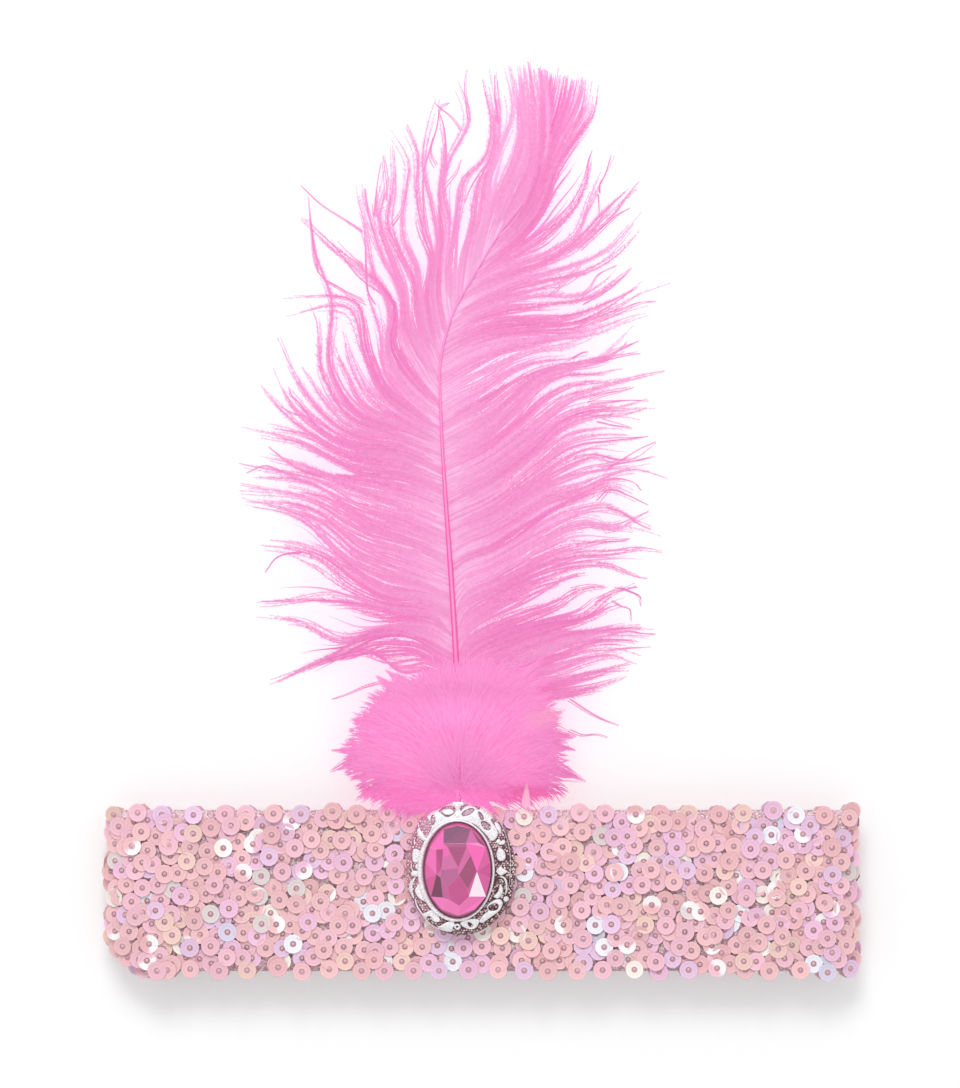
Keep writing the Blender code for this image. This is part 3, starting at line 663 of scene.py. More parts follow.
# Plume: the line of each lock as the y of its foot on the quill, then points x, y out to its tip
LEFT_LOCKS = (
    (55, -14, 58.5, -22, 58.5, -29, 63.5, -43, 60),
    (61, -13, 64.5, -19, 68, -28, 68.5, -37, 63.5, -56.5, 54),
    (65, -15, 69.5, -27, 69, -38, 66.5, -48, 71.5, -60.5, 73),
    (68, -13, 72.5, -20, 73, -30, 74, -38, 75.5),
    (69.5, -14, 73.5, -27, 75, -42, 77, -62.5, 76),
    (71.5, -14, 75.5, -25, 77, -34, 81.5, -43, 88.5, -60.5, 92),
    (73.5, -14, 77.5, -26, 80, -38, 88, -48, 92, -60, 93.5),
    (75.5, -14, 79.5, -26, 82, -40, 91, -47, 99, -64.5, 104),
    (79, -18, 83, -32, 88, -43, 97, -60, 102.5),
    (83, -18, 87, -33, 92.5, -45, 101, -63, 103.5),
    (87, -16, 90.8, -31, 96, -45, 103.5, -65, 106.8),
    (90, -16, 93.5, -30, 98, -42, 104.5, -52, 107),
    (93, -18, 97.2, -34, 102, -46, 108.5, -63.5, 110.5),
    (96.5, -18, 100.5, -34, 105.5, -48, 110.5, -65, 113.5),
    (99.5, -18, 103.5, -33, 107.5, -47, 113, -61.5, 116.5),
    (103.5, -18, 106.8, -34, 109.3, -48, 112, -58, 120),
    (106.5, -20, 110.5, -35, 112.5, -48, 119, -64.5, 123.2),
    (108.5, -20, 112.3, -34, 114.5, -47, 120.5, -60, 123),
    (110, -20, 114.2, -37, 116.5, -50, 125, -60, 135.3),
    (111.5, -20, 115.7, -37, 119, -50, 128, -56.5, 140.2),
    (113, -20, 117, -35, 119.5, -45, 126, -51.7, 134),
    (114.5, -21, 119, -36, 122, -47, 133, -54.6, 147.6),
    (116, -21, 120, -35, 123.5, -43, 131, -48.5, 139.2),
    (117, -22, 121.5, -36, 126, -43, 138, -44.5, 152, -48, 158),
    (118, -22, 122.5, -35, 128, -40.5, 139, -40, 158, -44.7, 170, -46.5, 180),
    (119, -20, 123.5, -31, 128.5, -37.5, 138.5, -42, 147),
    (120, -20, 124.5, -29, 130.5, -34.5, 140, -37.1, 149),
    (121.3, -18, 126, -27, 133, -31.5, 143, -35, 154.5, -56, 153.5),
    (122.5, -18, 127.5, -26, 134, -30.5, 144, -33, 155.5, -53, 157.6),
    (123.8, -19, 129.5, -26, 138, -27.5, 150, -30.6, 159.5),
    (126, -19, 133, -25, 142, -24.5, 155, -29, 165, -31.5, 176, -34.5, 188.5),
    (128.5, -18, 136, -23.5, 145, -23.5, 155, -30, 163, -39, 170.5, -51.6, 181.8),
    (131, -16, 138.5, -20.5, 147, -21.5, 158, -26.5, 169, -30.5, 181, -33, 197),
    (132.5, -16, 140.5, -20, 149, -21, 158.5, -25, 169, -29, 181, -27, 193.5),
    (134.5, -16, 142.5, -19.5, 151, -20.5, 159.5, -24, 169.5, -27, 180, -25, 189, -26.5, 196.5),
    (137, -15, 146, -17.5, 154, -18, 161.5, -21.5, 168.5, -25, 176.5, -24, 187, -24.2, 199.2),
    (139.5, -14.5, 148.5, -16.5, 157, -17, 165, -21, 174, -21, 184, -19.5, 193, -26.2, 206),
    (142, -13.5, 151, -14.5, 159, -13, 167, -15.5, 176.5, -17.3, 187, -17.2, 197, -20.4, 204.3),
    (145, -12.5, 153.5, -13, 161.5, -11.5, 171, -13.5, 182, -16, 192, -14.5, 203, -11.7, 211.4),
    (148, -11.5, 156.5, -11.5, 165, -11, 175, -11.5, 185, -10.7, 195, -11.5, 208),
    (151, -10, 159, -10, 168, -9, 178, -10.5, 188, -8.5, 195.5, -4.2, 205, -8.2, 217.7),
    (153.5, -8.5, 162, -8, 171, -6.5, 181, -4.5, 190, 0.5, 194.5, 2.5, 202, -0.1, 216.6),
    (157.5, -4.5, 168, -2, 178, -1, 187, 2.3, 195.5, 3, 203, -0.1, 217),
    (160, -3, 170, -0.5, 179, 0.5, 188, 3.5, 196, 4.3, 206, 3.4, 219.4),
    (162.5, -1, 172.5, 1.3, 181, 1.8, 189, 5, 197.5, 7.9, 206, 5.8, 220),
    (165.5, 1.5, 175.5, 4, 184, 7, 191, 9.5, 199, 9.3, 209, 7.3, 219.5),
    (167.5, 3, 177, 5.5, 185, 8.5, 191.5, 10.7, 199, 10.3, 209, 8.7, 220),
    (170, 4.5, 178, 8, 186, 11, 193, 12.5, 201, 11.5, 210, 10.8, 220),
    (172.5, 6.5, 180, 10.5, 187.5, 13.5, 194.5, 14, 203, 13.3, 212, 12.5, 221.3),
    (175.5, 9, 182, 13, 189, 15.5, 196, 16, 205, 15.2, 212, 14, 219),
    (179, 11.5, 184.5, 15, 190.5, 16.8, 198, 17.5, 206, 15.5, 219.5),
    (184, 14, 189, 16.3, 194, 17.3, 201, 17.3, 210, 16.5, 219),
)
RIGHT_LOCKS = (
    (42.5, -1, 45, 6, 47.7, 14, 49.8, 21, 51, 34.2, 53.4),
    (44, -1, 47, 6, 50, 13, 51.8, 21, 52.7, 28, 53.3, 38.4, 57),
    (46, -1, 49.5, 6, 52.5, 13, 54, 21, 55.2, 29, 57, 40.5, 59),
    (48, -1, 51.5, 6, 55, 12, 57.3, 19, 59.3, 29, 62.5, 36, 62.8, 41.6, 60.4),
    (50, -1, 54.5, 6, 57.8, 12, 60, 21, 63.5, 31, 66, 38, 66.2, 45, 64.6),
    (52, -1, 57, 6, 60, 13, 62.7, 21, 65.7, 30, 68, 38, 68.8, 46.7, 68.1),
    (54, -1, 59.5, 6, 62.3, 13, 65, 21, 68, 30, 69, 43.3, 70.4),
    (56, -1, 62, 6, 65, 13, 67.5, 22, 70, 30, 73, 36, 75.3, 42.5, 76),
    (58, -2, 64, 5, 67.5, 13, 70, 21, 71.5, 28, 73, 34, 78, 41.6, 80.7),
    (60, -3, 66, 4, 70, 11, 72.5, 18, 75, 25, 79.3, 32.8, 80.7),
    (63.5, -4, 70, 3, 75, 9, 78, 17, 81.3, 25, 83.8, 32.8, 84.8),
    (66.5, -4.5, 73, 2, 77.5, 9, 81, 18, 84.8, 29, 87, 35, 86.5, 41, 83.8, 46.8, 83.2),
    (70, -5, 75.5, 2, 79, 9, 82.7, 18, 87, 27, 89, 35, 89.5, 42, 90.8, 48.2, 90),
    (73.5, -5, 78, 2, 81.3, 9, 85, 18, 89.5, 28, 92, 39.1, 93.3),
    (76.5, -5, 80.5, 2, 83.5, 9, 87.3, 18, 92.5, 27, 96.8, 35, 96.2, 41, 95.3, 47.9, 93.2),
    (79.5, -5, 83, 2, 85.8, 9, 89.7, 18, 95, 27, 98.3, 34, 96.5, 39, 98, 45, 100.8),
    (82.5, -5, 85.5, 2, 88.2, 9, 92.2, 18, 98, 26, 101, 33, 101.8, 38, 99.5, 45.5, 95.8),
    (85.5, -5, 88, 2, 90.7, 9, 94.8, 18, 101, 27, 104.5, 34, 106.8, 39, 105, 44.6, 102.4),
    (88, -5, 90.3, 2, 93, 9, 97.2, 18, 103, 27, 106, 33, 109, 38, 108.8, 42.6, 106.6),
    (90.5, -5, 92.7, 2, 95.5, 9, 99.8, 18, 105, 27, 107.5, 34, 110.8, 40, 112.5, 51.4, 109.8),
    (93, -5, 95, 2, 98, 9, 102.5, 17, 107.5, 25, 110.5, 34, 112.5, 41, 114, 46.3, 115.3),
    (95, -5, 97, 2, 100, 9, 104.5, 17, 110, 24, 114, 30, 116, 34, 115.3, 39, 114.7, 46.4, 119.2),
    (97, -5, 99, 2, 102.2, 9, 107, 16, 112, 23, 117, 29, 118.8, 36, 119.6, 44.4, 121),
    (99, -5, 101.2, 2, 104.5, 9, 109.2, 16, 115, 23, 120.3, 30, 122, 40.2, 122.3),
    (101, -5, 103.3, 2, 106.7, 9, 111.5, 15, 116.5, 21, 122.5, 28, 126, 36, 127, 44, 125.6),
    (102.7, -5, 105, 2, 108.5, 9, 113.5, 15, 118.5, 21, 124, 28, 126.8, 37, 127.6, 46.3, 128.5),
    (104.5, -5, 106.7, 2, 110.2, 9, 115.3, 15, 120.3, 21, 125.5, 28, 127.8, 36, 128, 44.4, 130.5),
    (107, -5, 109.3, 2, 112.8, 9, 118, 16, 124, 23, 129.5, 31, 131.8, 40.9, 134),
    (109.5, -5, 111.7, 2, 115.2, 9, 120.3, 16, 126.5, 22.5, 131.5, 30, 133.5, 39, 136, 49.5, 138.5),
    (112.5, -5, 114.8, 2, 118.3, 9, 124, 15, 130, 22, 134, 30, 135, 37, 136),
    (115, -5, 117.5, 2, 121.2, 9, 127.3, 15, 134.3, 22, 137.3, 30, 137.5, 39.8, 138.8),
    (117, -5, 119.7, 2, 123.4, 9, 129.5, 15, 135.8, 24, 138.8, 33, 141, 38.5, 146, 43.3, 152.5),
    (118.7, -5, 121.5, 2, 125.3, 9, 131.3, 15.5, 136.8, 25, 139.3, 33.5, 141.5, 42.3, 146.2),
    (120.3, -5, 123.2, 2, 127.2, 9, 133, 16, 137.8, 25, 139.8, 33, 141, 42.6, 143),
    (123.5, -5, 126.7, 2, 130.7, 8, 135, 14, 138.3, 21, 139.8, 29, 140.3),
    (127, -5, 130.3, 2, 134.3, 9, 138.5, 15, 141, 21, 142, 28.3, 143.6),
    (131, -5, 134.5, 2, 138.3, 9, 141.7, 16, 143.7, 23, 145.3, 31, 149),
    (135, -5, 138.7, 2, 142, 9, 144.3, 16, 145.7, 23, 148, 34, 152),
    (138.5, -4, 142.3, 5, 145.5, 14, 146.7, 22, 147, 31, 149, 39, 152.2, 48.8, 155),
    (141, -4, 145, 5, 148, 14, 148.9, 24, 149.5, 34, 153.5, 46, 157),
    (143, -4, 147, 5, 149.8, 14, 150.5, 24, 151, 34, 154.8, 42, 159.7, 51.7, 163.8),
    (145, -3.5, 148.8, 5, 151.6, 14, 152, 24, 152.5, 33, 155.8, 38.5, 158.7, 44.4, 163),
    (147.5, -3, 151.2, 6, 154.5, 17, 156, 28, 158, 34, 161.5, 40.5, 167),
    (149.5, -2, 153.5, 7, 156.8, 17, 158, 27, 159, 31.5, 162, 36.3, 166.2),
    (151, -1.5, 155, 7, 158.3, 15, 159.8, 22, 161.3, 25, 163.7, 27.6, 167.3),
    (152.5, -1, 156.5, 8, 160, 18, 162.3, 27, 164.5, 35, 169, 42.6, 176.7),
    (154.5, -0.5, 158.3, 8, 161.7, 18, 164.3, 27, 167.3, 33, 170.5, 43, 181),
    (157, 0, 160.3, 9, 163.7, 19, 167.5, 27, 172.3, 35, 180.8, 43.2, 188),
    (158.5, 1, 161.7, 10, 165, 20, 169, 27, 174, 33, 180.3, 42.6, 189.7),
    (160, 1.5, 163, 9, 166, 19, 169.8, 25.5, 175, 29, 183, 32.5, 190.5, 34.8, 196.3),
    (163.5, 3.5, 166.8, 10.5, 170.2, 18, 174.8, 24, 181, 27.5, 188, 29.7, 197.5),
    (165.5, 5, 170, 11.5, 175.5, 16.5, 182.5, 19.5, 191, 24.5, 199.5, 29.5, 207, 31.2, 215),
    (167, 5, 170.8, 11, 176.5, 15.5, 183, 18, 190.5, 22.5, 199.5, 27, 208, 28.3, 216),
    (168.5, 5.5, 172, 11, 177.5, 14.8, 184, 17, 191.5, 20.5, 200, 25, 209, 26.9, 217.7),
    (170, 6, 173.5, 11, 179, 14.5, 185.5, 16.5, 192.5, 19.5, 201, 23, 208.5, 24.8, 216),
    (172, 7, 175.5, 11.5, 181, 14.5, 187.5, 16.3, 194, 18.5, 202, 20.8, 210, 21.7, 217.7),
    (175, 8.5, 178, 12, 182.5, 14.5, 188.5, 16.3, 196.5, 17.5, 206, 19.5, 217.5),
    (179, 11, 182, 13.5, 186.5, 15.3, 193, 16.5, 202, 17, 210, 17.8, 218.5),
    (187, 14.5, 190.5, 15.8, 196, 16.3, 204, 16.3, 211, 16.3, 219),
)
# Kinds of barbs: how many, how firmly they are drawn to their lock and how far they lie below the top
LONG_BARBS = (330, 1, 0)
SHORT_BARBS = (110, 0.55, 1)
BROAD_BARBS = (420, 0.2, 1.4)
# Length of a barb as share of its lock, by the y of its foot: lowest and highest
FULL_REACH = ((0, 0.8, 1.02), (165, 0.8, 1.02), (170, 0.93, 1.03))
SHORT_REACH = ((0, 0.5, 0.82), (165, 0.5, 0.82), (170, 0.7, 1))
LEFT_BROAD = ((60, 0.5, 0.9), (90, 0.4, 0.8), (108, 0.4, 0.8), (124, 0.35, 0.7), (150, 0.25, 0.62),
              (184, 0.3, 0.6))
RIGHT_BROAD = ((40, 0.6, 0.98), (100, 0.55, 0.9), (130, 0.35, 0.8), (160, 0.3, 0.6), (168, 0.9, 1.03))
# Where barbs begin to gather into locks, by the y of their feet, and its scatter and upper limit
LEFT_GATHER = ((60, 0.4), (108, 0.35), (122, 0.15), (150, 0.05))
RIGHT_GATHER = ((40, 0.5), (105, 0.4), (122, 0.25), (150, 0.15))
GATHER_JITTER = (-0.05, 0.15)
GATHER_LATEST = 0.6
# Share of a lock's length over which its barbs gather
GATHER_SPAN = 0.42
# How far barbs are drawn to the middle of their lock, by the y of their feet
LOCK_PULL = ((0, 0.55), (58, 0.6), (66, 0.9), (164.5, 0.9), (166.5, 0.7), (172, 0.5))
# How closely barbs stand, by the y of their feet
CROWDING = ((0, 1.7), (56, 1.6), (66, 1), (164.5, 1), (166.5, 1.7))
GUIDE_POINTS = 61
BARB_POINTS = 22
# Pairs of barbs fork and sway alike: by how much, from where to where along them, how many waves
FORK = 0.55
FORK_PART = (0.3, 1)
SWAY = 0.35
SWAY_PART = (0, 0.5)
SWAY_WAVES = 1.4
STRAY = 0.3
# Level of the tips, arch of the vane, how the level falls along a lock, and where locks lie in layers
TIP_LEVEL = 0.7
VANE_ARCH = 1.4
FALL_POWER = 1.3
FOOT_SINK = 0.6
LAYER_DEPTH = 1.6
LAYER_PART = (0, 0.4)
LEVEL_JITTER = 0.15
LOWEST_BARB = 0.3
# Half width of a barb, as share of the way to its tip and millimetres
BARB_WIDTH = ((0, 0.1), (0.6, 0.09), (1, 0.05))
BROAD_WIDTH = ((0, 0.24), (0.1, 0.34), (0.55, 0.38), (0.85, 0.16), (1, 0.03))
BARB_RIDGE = 0.5
BARBULE_STEP = 0.22
BARBULE_WIDTH = 0.16
# Barbule length along a barb, as share of the way to its tip and millimetres, and its scatter
BARBULE_REACH = ((0, 0.35), (0.1, 0.5), (0.35, 1.6), (0.8, 1.5), (1, 0.4))
BARBULE_SPREAD = (0.55, 1.2)
# How barbules stand: scatter of their rise, smallest and largest angle to the barb
BARBULE_LIE = (0.2, 0.35, 0.95)
LOWEST_BARBULE = 0.15
BARB_DEEP = linear(207, 108, 169)
BARB_PALE = linear(212, 150, 191)
BROAD_TONE = linear(218, 168, 203)
# How deep the barbs' colour is by the y of their feet, as share from pale to deep
LEFT_DEPTH = ((60, 0.55), (70, 0.5), (142, 0.5), (158, 0.22), (187, 0.22))
RIGHT_DEPTH = ((60, 0.55), (75, 0.4), (160, 0.4), (168, 0.65))
# Scatter of that depth by lock, by barb and by broad barb, and what it becomes for broad barbs
LOCK_MIX = 0.13
BARB_MIX = 0.14
BROAD_MIX = 0.12
BROAD_DEPTH = (1.5, -0.45)
BARBULE_LIGHTNESS = (0.97, 1.04)
# Barbs are paler near their feet: by how much, and over which share of their length
FOOT_PALENESS = 0.3
FOOT_SHARE = 0.4


def guide_grid(guides, shares):
    """Where each lock's middle is at each share of its length: locks by shares by x, y."""
    rows = []
    for foot_y, *rest in guides:
        foot = quill_at(np.array([foot_y]))[0, :2]
        points = np.vstack([foot, np.array(rest).reshape(-1, 2)])
        steps = np.concatenate([[0], np.cumsum(np.hypot(*np.diff(points, axis=0).T))])
        rows.append(smooth_curve(steps / steps[-1], points, shares))
    return np.array(rows)


def sample_grid(grid, place, share):
    """Points between the guides: place counts guides from the base, share runs from foot to tip."""
    guides, shares = grid.shape[:2]
    place = np.clip(place, 0, guides - 1.001)
    column = np.clip(share, 0, 0.9999) * (shares - 1)
    i, j = place.astype(int), column.astype(int)
    u, v = (place - i)[..., None], (column - j)[..., None]
    return blend(blend(grid[i, j], grid[i, j + 1], v), blend(grid[i + 1, j], grid[i + 1, j + 1], v), u)


def vane_barbs(guides, reaches, gather, count, firmness, sink):
    """Middle lines of barbs that rise from the quill and gather into the nearest lock towards their tips."""
    grid = guide_grid(guides, np.linspace(0, 1, GUIDE_POINTS))
    feet = np.array([row[0] for row in guides])
    locks = len(guides)
    crowd = np.cumsum(lookup(CROWDING, feet))
    place = np.interp(np.linspace(crowd[0], crowd[-1], count), crowd, np.arange(locks))
    foot_y = np.interp(place, np.arange(locks), feet)
    lock = np.rint(place).astype(int)
    strand = np.arange(count) // 2
    length = rng.uniform(*lookup(reaches, foot_y))[:, None]
    share = np.linspace(0, 1, BARB_POINTS)[None, :]
    start = lookup(gather, foot_y) + rng.uniform(*GATHER_JITTER, locks)[lock]
    start = np.clip(start, 0, GATHER_LATEST)[:, None]
    pull = lookup(LOCK_PULL, foot_y)[:, None] * firmness * ease((share - start) / GATHER_SPAN)
    followed = place[:, None] + (lock - place)[:, None] * pull
    flat = sample_grid(grid, followed, share * length)
    sideways = turned_left(unit(np.gradient(flat, axis=1)))
    fork = rng.normal(0, FORK, strand[-1] + 1)[strand][:, None] * fade(share, *FORK_PART)
    phase = rng.uniform(0, 2 * np.pi, strand[-1] + 1)[strand][:, None]
    sway = SWAY * fade(share, *SWAY_PART) * np.sin(2 * np.pi * SWAY_WAVES * share + phase)
    stray = rng.normal(0, STRAY, (count, 1)) * share
    flat = flat + sideways * (fork + sway + stray)[..., None]
    level = blend(quill_at(foot_y)[:, 2:] - FOOT_SINK, TIP_LEVEL, (share * length) ** FALL_POWER)
    level += VANE_ARCH * np.sin(np.pi * share * length)
    layer = rng.uniform(0, LAYER_DEPTH, locks)[lock][:, None] - sink
    level += layer * fade(share, *LAYER_PART) + rng.normal(0, LEVEL_JITTER, (count, 1))
    return np.concatenate([flat, np.maximum(level, LOWEST_BARB)[..., None]], -1), lock


def barb_ribbons(barbs, widths, ridge=0.0):
    """Ribbons along the barbs: two strips with a low ridge between them, or one flat strip."""
    count, points = barbs.shape[:2]
    across = level_across(unit(np.gradient(barbs, axis=1)))
    width = lookup(widths, np.linspace(0, 1, points))[None, :, None]
    rails = [barbs - across * width, barbs + across * width]
    if ridge:
        rails.insert(1, barbs + UP * ridge * width)
    lines = len(rails)
    k = np.arange(points - 1)[:, None] * lines
    strips = [k + np.array((i, i + 1, lines + i + 1, lines + i)) for i in range(lines - 1)]
    return np.stack(rails, 2), repeat_faces(np.concatenate(strips), points * lines, count)


def barbules(barbs, step, reaches, lie):
    """Short slivers that leave both sides of each barb and lean towards its tip."""
    count, points = barbs.shape[:2]
    lift, *slants = lie
    total = np.linalg.norm(np.diff(barbs, axis=1), axis=-1).sum(1)
    owner = np.repeat(np.arange(count), (total / step).astype(int) + 1)
    share = rng.uniform(0, 1, len(owner))
    column = share * (points - 1.001)
    j = column.astype(int)
    root = blend(barbs[owner, j], barbs[owner, j + 1], (column - j)[:, None])
    ahead = unit(barbs[owner, j + 1] - barbs[owner, j])
    across = level_across(ahead)
    side = np.where(rng.uniform(0, 1, len(owner)) < 0.5, -1.0, 1.0)[:, None]
    slant = rng.uniform(*slants, len(owner))[:, None]
    rise = rng.normal(0, lift, len(owner))[:, None] * UP
    reach = lookup(reaches, share) * rng.uniform(*BARBULE_SPREAD, len(owner))
    tip = root + unit(ahead * np.cos(slant) + across * side * np.sin(slant) + rise) * reach[:, None]
    tip[:, 2] = np.maximum(tip[:, 2], LOWEST_BARBULE)
    half = ahead * BARBULE_WIDTH / 2
    faces = np.arange(len(owner) * 3).reshape(-1, 3)
    return np.stack([root - half, root + half, tip], 1), faces, owner, share


def along_barb(tones, share, paleness):
    """Colours at a share of the way from foot to tip: paler near the foot."""
    return blend(tones, BROAD_TONE, paleness * ease(1 - share / FOOT_SHARE))


def add_ribbons(patches, barbs, widths, ridge, tones, paleness):
    """Adds barbs as ribbons, each in its own tone."""
    vertices, faces = barb_ribbons(barbs, widths, ridge)
    share = np.linspace(0, 1, vertices.shape[1])[:, None]
    shades = along_barb(tones[:, None], share, paleness)
    patches.add(vertices, faces, np.repeat(shades.reshape(-1, 3), vertices.shape[2], 0))


def feathered(patches, barbs, tones, reaches, lie, paleness=0.0):
    """Adds barbs with their barbules, each barb in its own tone."""
    add_ribbons(patches, barbs, BARB_WIDTH, BARB_RIDGE, tones, paleness)
    fluff, faces, owner, share = barbules(barbs, BARBULE_STEP, reaches, lie)
    tones = tones[owner] * rng.uniform(*BARBULE_LIGHTNESS, (len(owner), 1))
    shades = along_barb(tones, share[:, None], paleness)
    patches.add(fluff, faces, np.clip(np.repeat(shades, 3, 0), 0, 1))


def barb_tones(depth, pale=BARB_PALE):
    """Colours from pale at depth 0 to deep at depth 1."""
    return blend(pale, BARB_DEEP, np.clip(depth, 0, 1)[:, None])


def vane(name, guides, broad_reach, gather, depths, material):
    """One side of the vane: long barbs in locks, shorter and looser ones between, broad ones underneath."""
    patches = Patches()
    lock_mix = LOCK_MIX * rng.normal(0, 1, len(guides))
    long_barbs, locks = vane_barbs(guides, FULL_REACH, gather, *LONG_BARBS)
    short_barbs, short_locks = vane_barbs(guides, SHORT_REACH, gather, *SHORT_BARBS)
    owner = np.concatenate([locks, short_locks])
    depth = lookup(depths, [row[0] for row in guides]) + lock_mix
    tones = barb_tones(depth[owner] + BARB_MIX * rng.normal(0, 1, len(owner)))
    barbs = np.concatenate([long_barbs, short_barbs])
    feathered(patches, barbs, tones, BARBULE_REACH, BARBULE_LIE, FOOT_PALENESS)
    broad, owner = vane_barbs(guides, broad_reach, gather, *BROAD_BARBS)
    gain, shift = BROAD_DEPTH
    tones = barb_tones(gain * depth[owner] + shift + BROAD_MIX * rng.normal(0, 1, len(broad)), BROAD_TONE)
    add_ribbons(patches, broad, BROAD_WIDTH, 0.0, tones, FOOT_PALENESS)
    patches.piece(name, material, "pink_feather", "plume").visible_shadow = False


# Stray wisps past the vane's edge: four points x, y each, root to tip
WISPS = (
    (-31.5, 175.5, -36, 178.5, -43, 183, -48.5, 188), (-31, 156.5, -37.5, 160, -44, 165.5, -46, 179),
    (-44, 165.5, -45, 171, -46, 179, -46.5, 185), (-23, 156.5, -32.5, 163, -39, 171, -47, 179),
    (-28.5, 156.5, -30.5, 160.5, -31, 171, -31.5, 176.5), (-25.5, 166, -29, 176.5, -30.5, 183, -31, 187),
    (-29, 179, -28.5, 184.5, -28, 188.5, -27, 194), (-25.5, 183, -25.5, 187, -26, 191, -26.5, 196),
    (-24, 176.5, -21.5, 180.5, -20.5, 184.5, -19.5, 192.5),
    (-14.5, 175, -15.5, 183, -15.5, 191, -13, 200.5), (-12.5, 192.5, -14, 196.5, -12, 204, -11.5, 211),
    (-9.5, 191, -9.5, 196.5, -10, 203, -11.5, 208), (-5.5, 202.5, -8, 206, -11, 208.5, -12.5, 210),
    (-11, 208, -10.5, 209, -9.5, 209.5, -8.5, 210), (-3.5, 205, -4, 209.5, -4.5, 214.5, -4, 219),
    (-11, 184.5, -10, 187, -7, 191, -5.5, 195), (-4.5, 183, -3, 187, -1, 190.5, 1, 193.5),
    (0.5, 183, 1, 188.5, 2, 192.5, 3.5, 196.5), (4, 204, 4, 208, 3.5, 212, 3.5, 217.5),
    (-48, 90, -52.5, 89.5, -55.5, 88, -58, 84.5), (-48, 109, -53.5, 111.5, -58, 113, -63, 111),
    (-40, 119.5, -45.5, 125.5, -50.5, 127, -54, 129), (-43, 122, -48, 129, -50.5, 131.5, -51.5, 134),
    (-25.5, 55.5, -31, 54, -35.5, 52, -40, 50.5), (-23, 66.5, -28.5, 64, -35, 61.5, -42.5, 61),
    (23, 50.5, 28.5, 47, 32.5, 45, 36.5, 43.5), (23.5, 43, 27, 41.5, 30.5, 41.5, 33.5, 40.5),
    (30.5, 77, 34.5, 79, 38, 80, 41.5, 80.5), (36, 80.5, 39, 79.5, 42, 78, 42.5, 75.5),
    (34.5, 77, 37, 75.5, 39.5, 74.5, 40, 71.5), (24.5, 80, 28.5, 81, 31, 81, 33, 80.5),
    (34, 67.5, 39, 68.5, 43, 68, 46.5, 68), (32.5, 64, 38, 64.5, 42, 64.5, 45, 64.5),
    (28.5, 92, 34, 93, 37, 93, 39.5, 93.5), (31, 90, 36.5, 90.5, 39.5, 90.5, 42.5, 91),
    (32.5, 96.5, 36.5, 97, 39.5, 98.5, 44.5, 101), (32.5, 102, 37, 100.5, 41.5, 97.5, 45, 96),
    (30.5, 103.5, 34, 106.5, 39, 105, 44.5, 102.5), (31, 109, 36.5, 109.5, 40.5, 108.5, 42.5, 106.5),
    (32.5, 111.5, 37, 114.5, 42, 117.5, 46.5, 119.5), (31, 112.5, 36.5, 113.5, 42, 114.5, 46, 115.5),
    (30, 119.5, 35, 120, 40.5, 120.5, 44.5, 121), (31, 125, 35, 124, 38, 123.5, 40, 123),
    (28.5, 129.5, 34, 130, 39, 130.5, 44.5, 130.5), (28.5, 130.5, 32.5, 132, 37, 133, 40.5, 134),
    (31, 140, 35, 143, 39, 145, 42, 146.5), (28.5, 140.5, 34, 141.5, 38.5, 142.5, 42.5, 143),
    (23.5, 142, 25.5, 143, 27, 143.5, 28.5, 143.5), (31, 152, 37, 154.5, 42, 156.5, 46.5, 157),
    (27, 156.5, 32.5, 159.5, 36.5, 162.5, 40, 166), (24.5, 156.5, 28.5, 160.5, 31, 164, 36, 166.5),
    (18, 158, 21, 161, 24.5, 164, 27, 167.5), (26, 171, 31, 175.5, 36, 180, 39.5, 182),
    (28.5, 174, 34.5, 179, 38.5, 184.5, 42, 189), (27.5, 188.5, 28, 191.5, 28.5, 194.5, 29.5, 197.5),
    (31.5, 185.5, 31.5, 188, 33, 191, 34.5, 196), (27, 179, 29.5, 183, 31, 185.5, 31.5, 180),
)
WISP_REACH = ((0, 0.9), (0.5, 0.6), (1, 0.25))
WISP_LIE = (0.15, 0.25, 0.6)
WISP_BARBS = 3
# Scatter of a wisp's barbs at its root and its tip, their levels there, and how deep their colour is
ROOT_SCATTER = 0.45
TIP_SCATTER = 0.12
ROOT_LEVELS = (3, 6)
TIP_LEVELS = (0.6, 2)
WISP_DEPTHS = (0.4, 0.9)


def stray_wisps(material):
    """Loose ends, each of a few barbs that come together at the tip."""
    share = np.linspace(0, 1, BARB_POINTS)
    barbs = []
    for row in WISPS:
        line = smooth_curve(np.linspace(0, 1, 4), np.reshape(row, (4, 2)), share)
        for _ in range(WISP_BARBS):
            shift = rng.normal(0, ROOT_SCATTER, 2) * (1 - share[:, None]) + rng.normal(0, TIP_SCATTER, 2)
            level = np.linspace(rng.uniform(*ROOT_LEVELS), rng.uniform(*TIP_LEVELS), BARB_POINTS)
            barbs.append(np.column_stack([line + shift, level]))
    patches = Patches()
    tones = barb_tones(rng.uniform(*WISP_DEPTHS, len(barbs)))
    feathered(patches, np.array(barbs), tones, WISP_REACH, WISP_LIE)
    patches.piece("stray_wisps", material, "pink_feather", "plume").visible_shadow = False


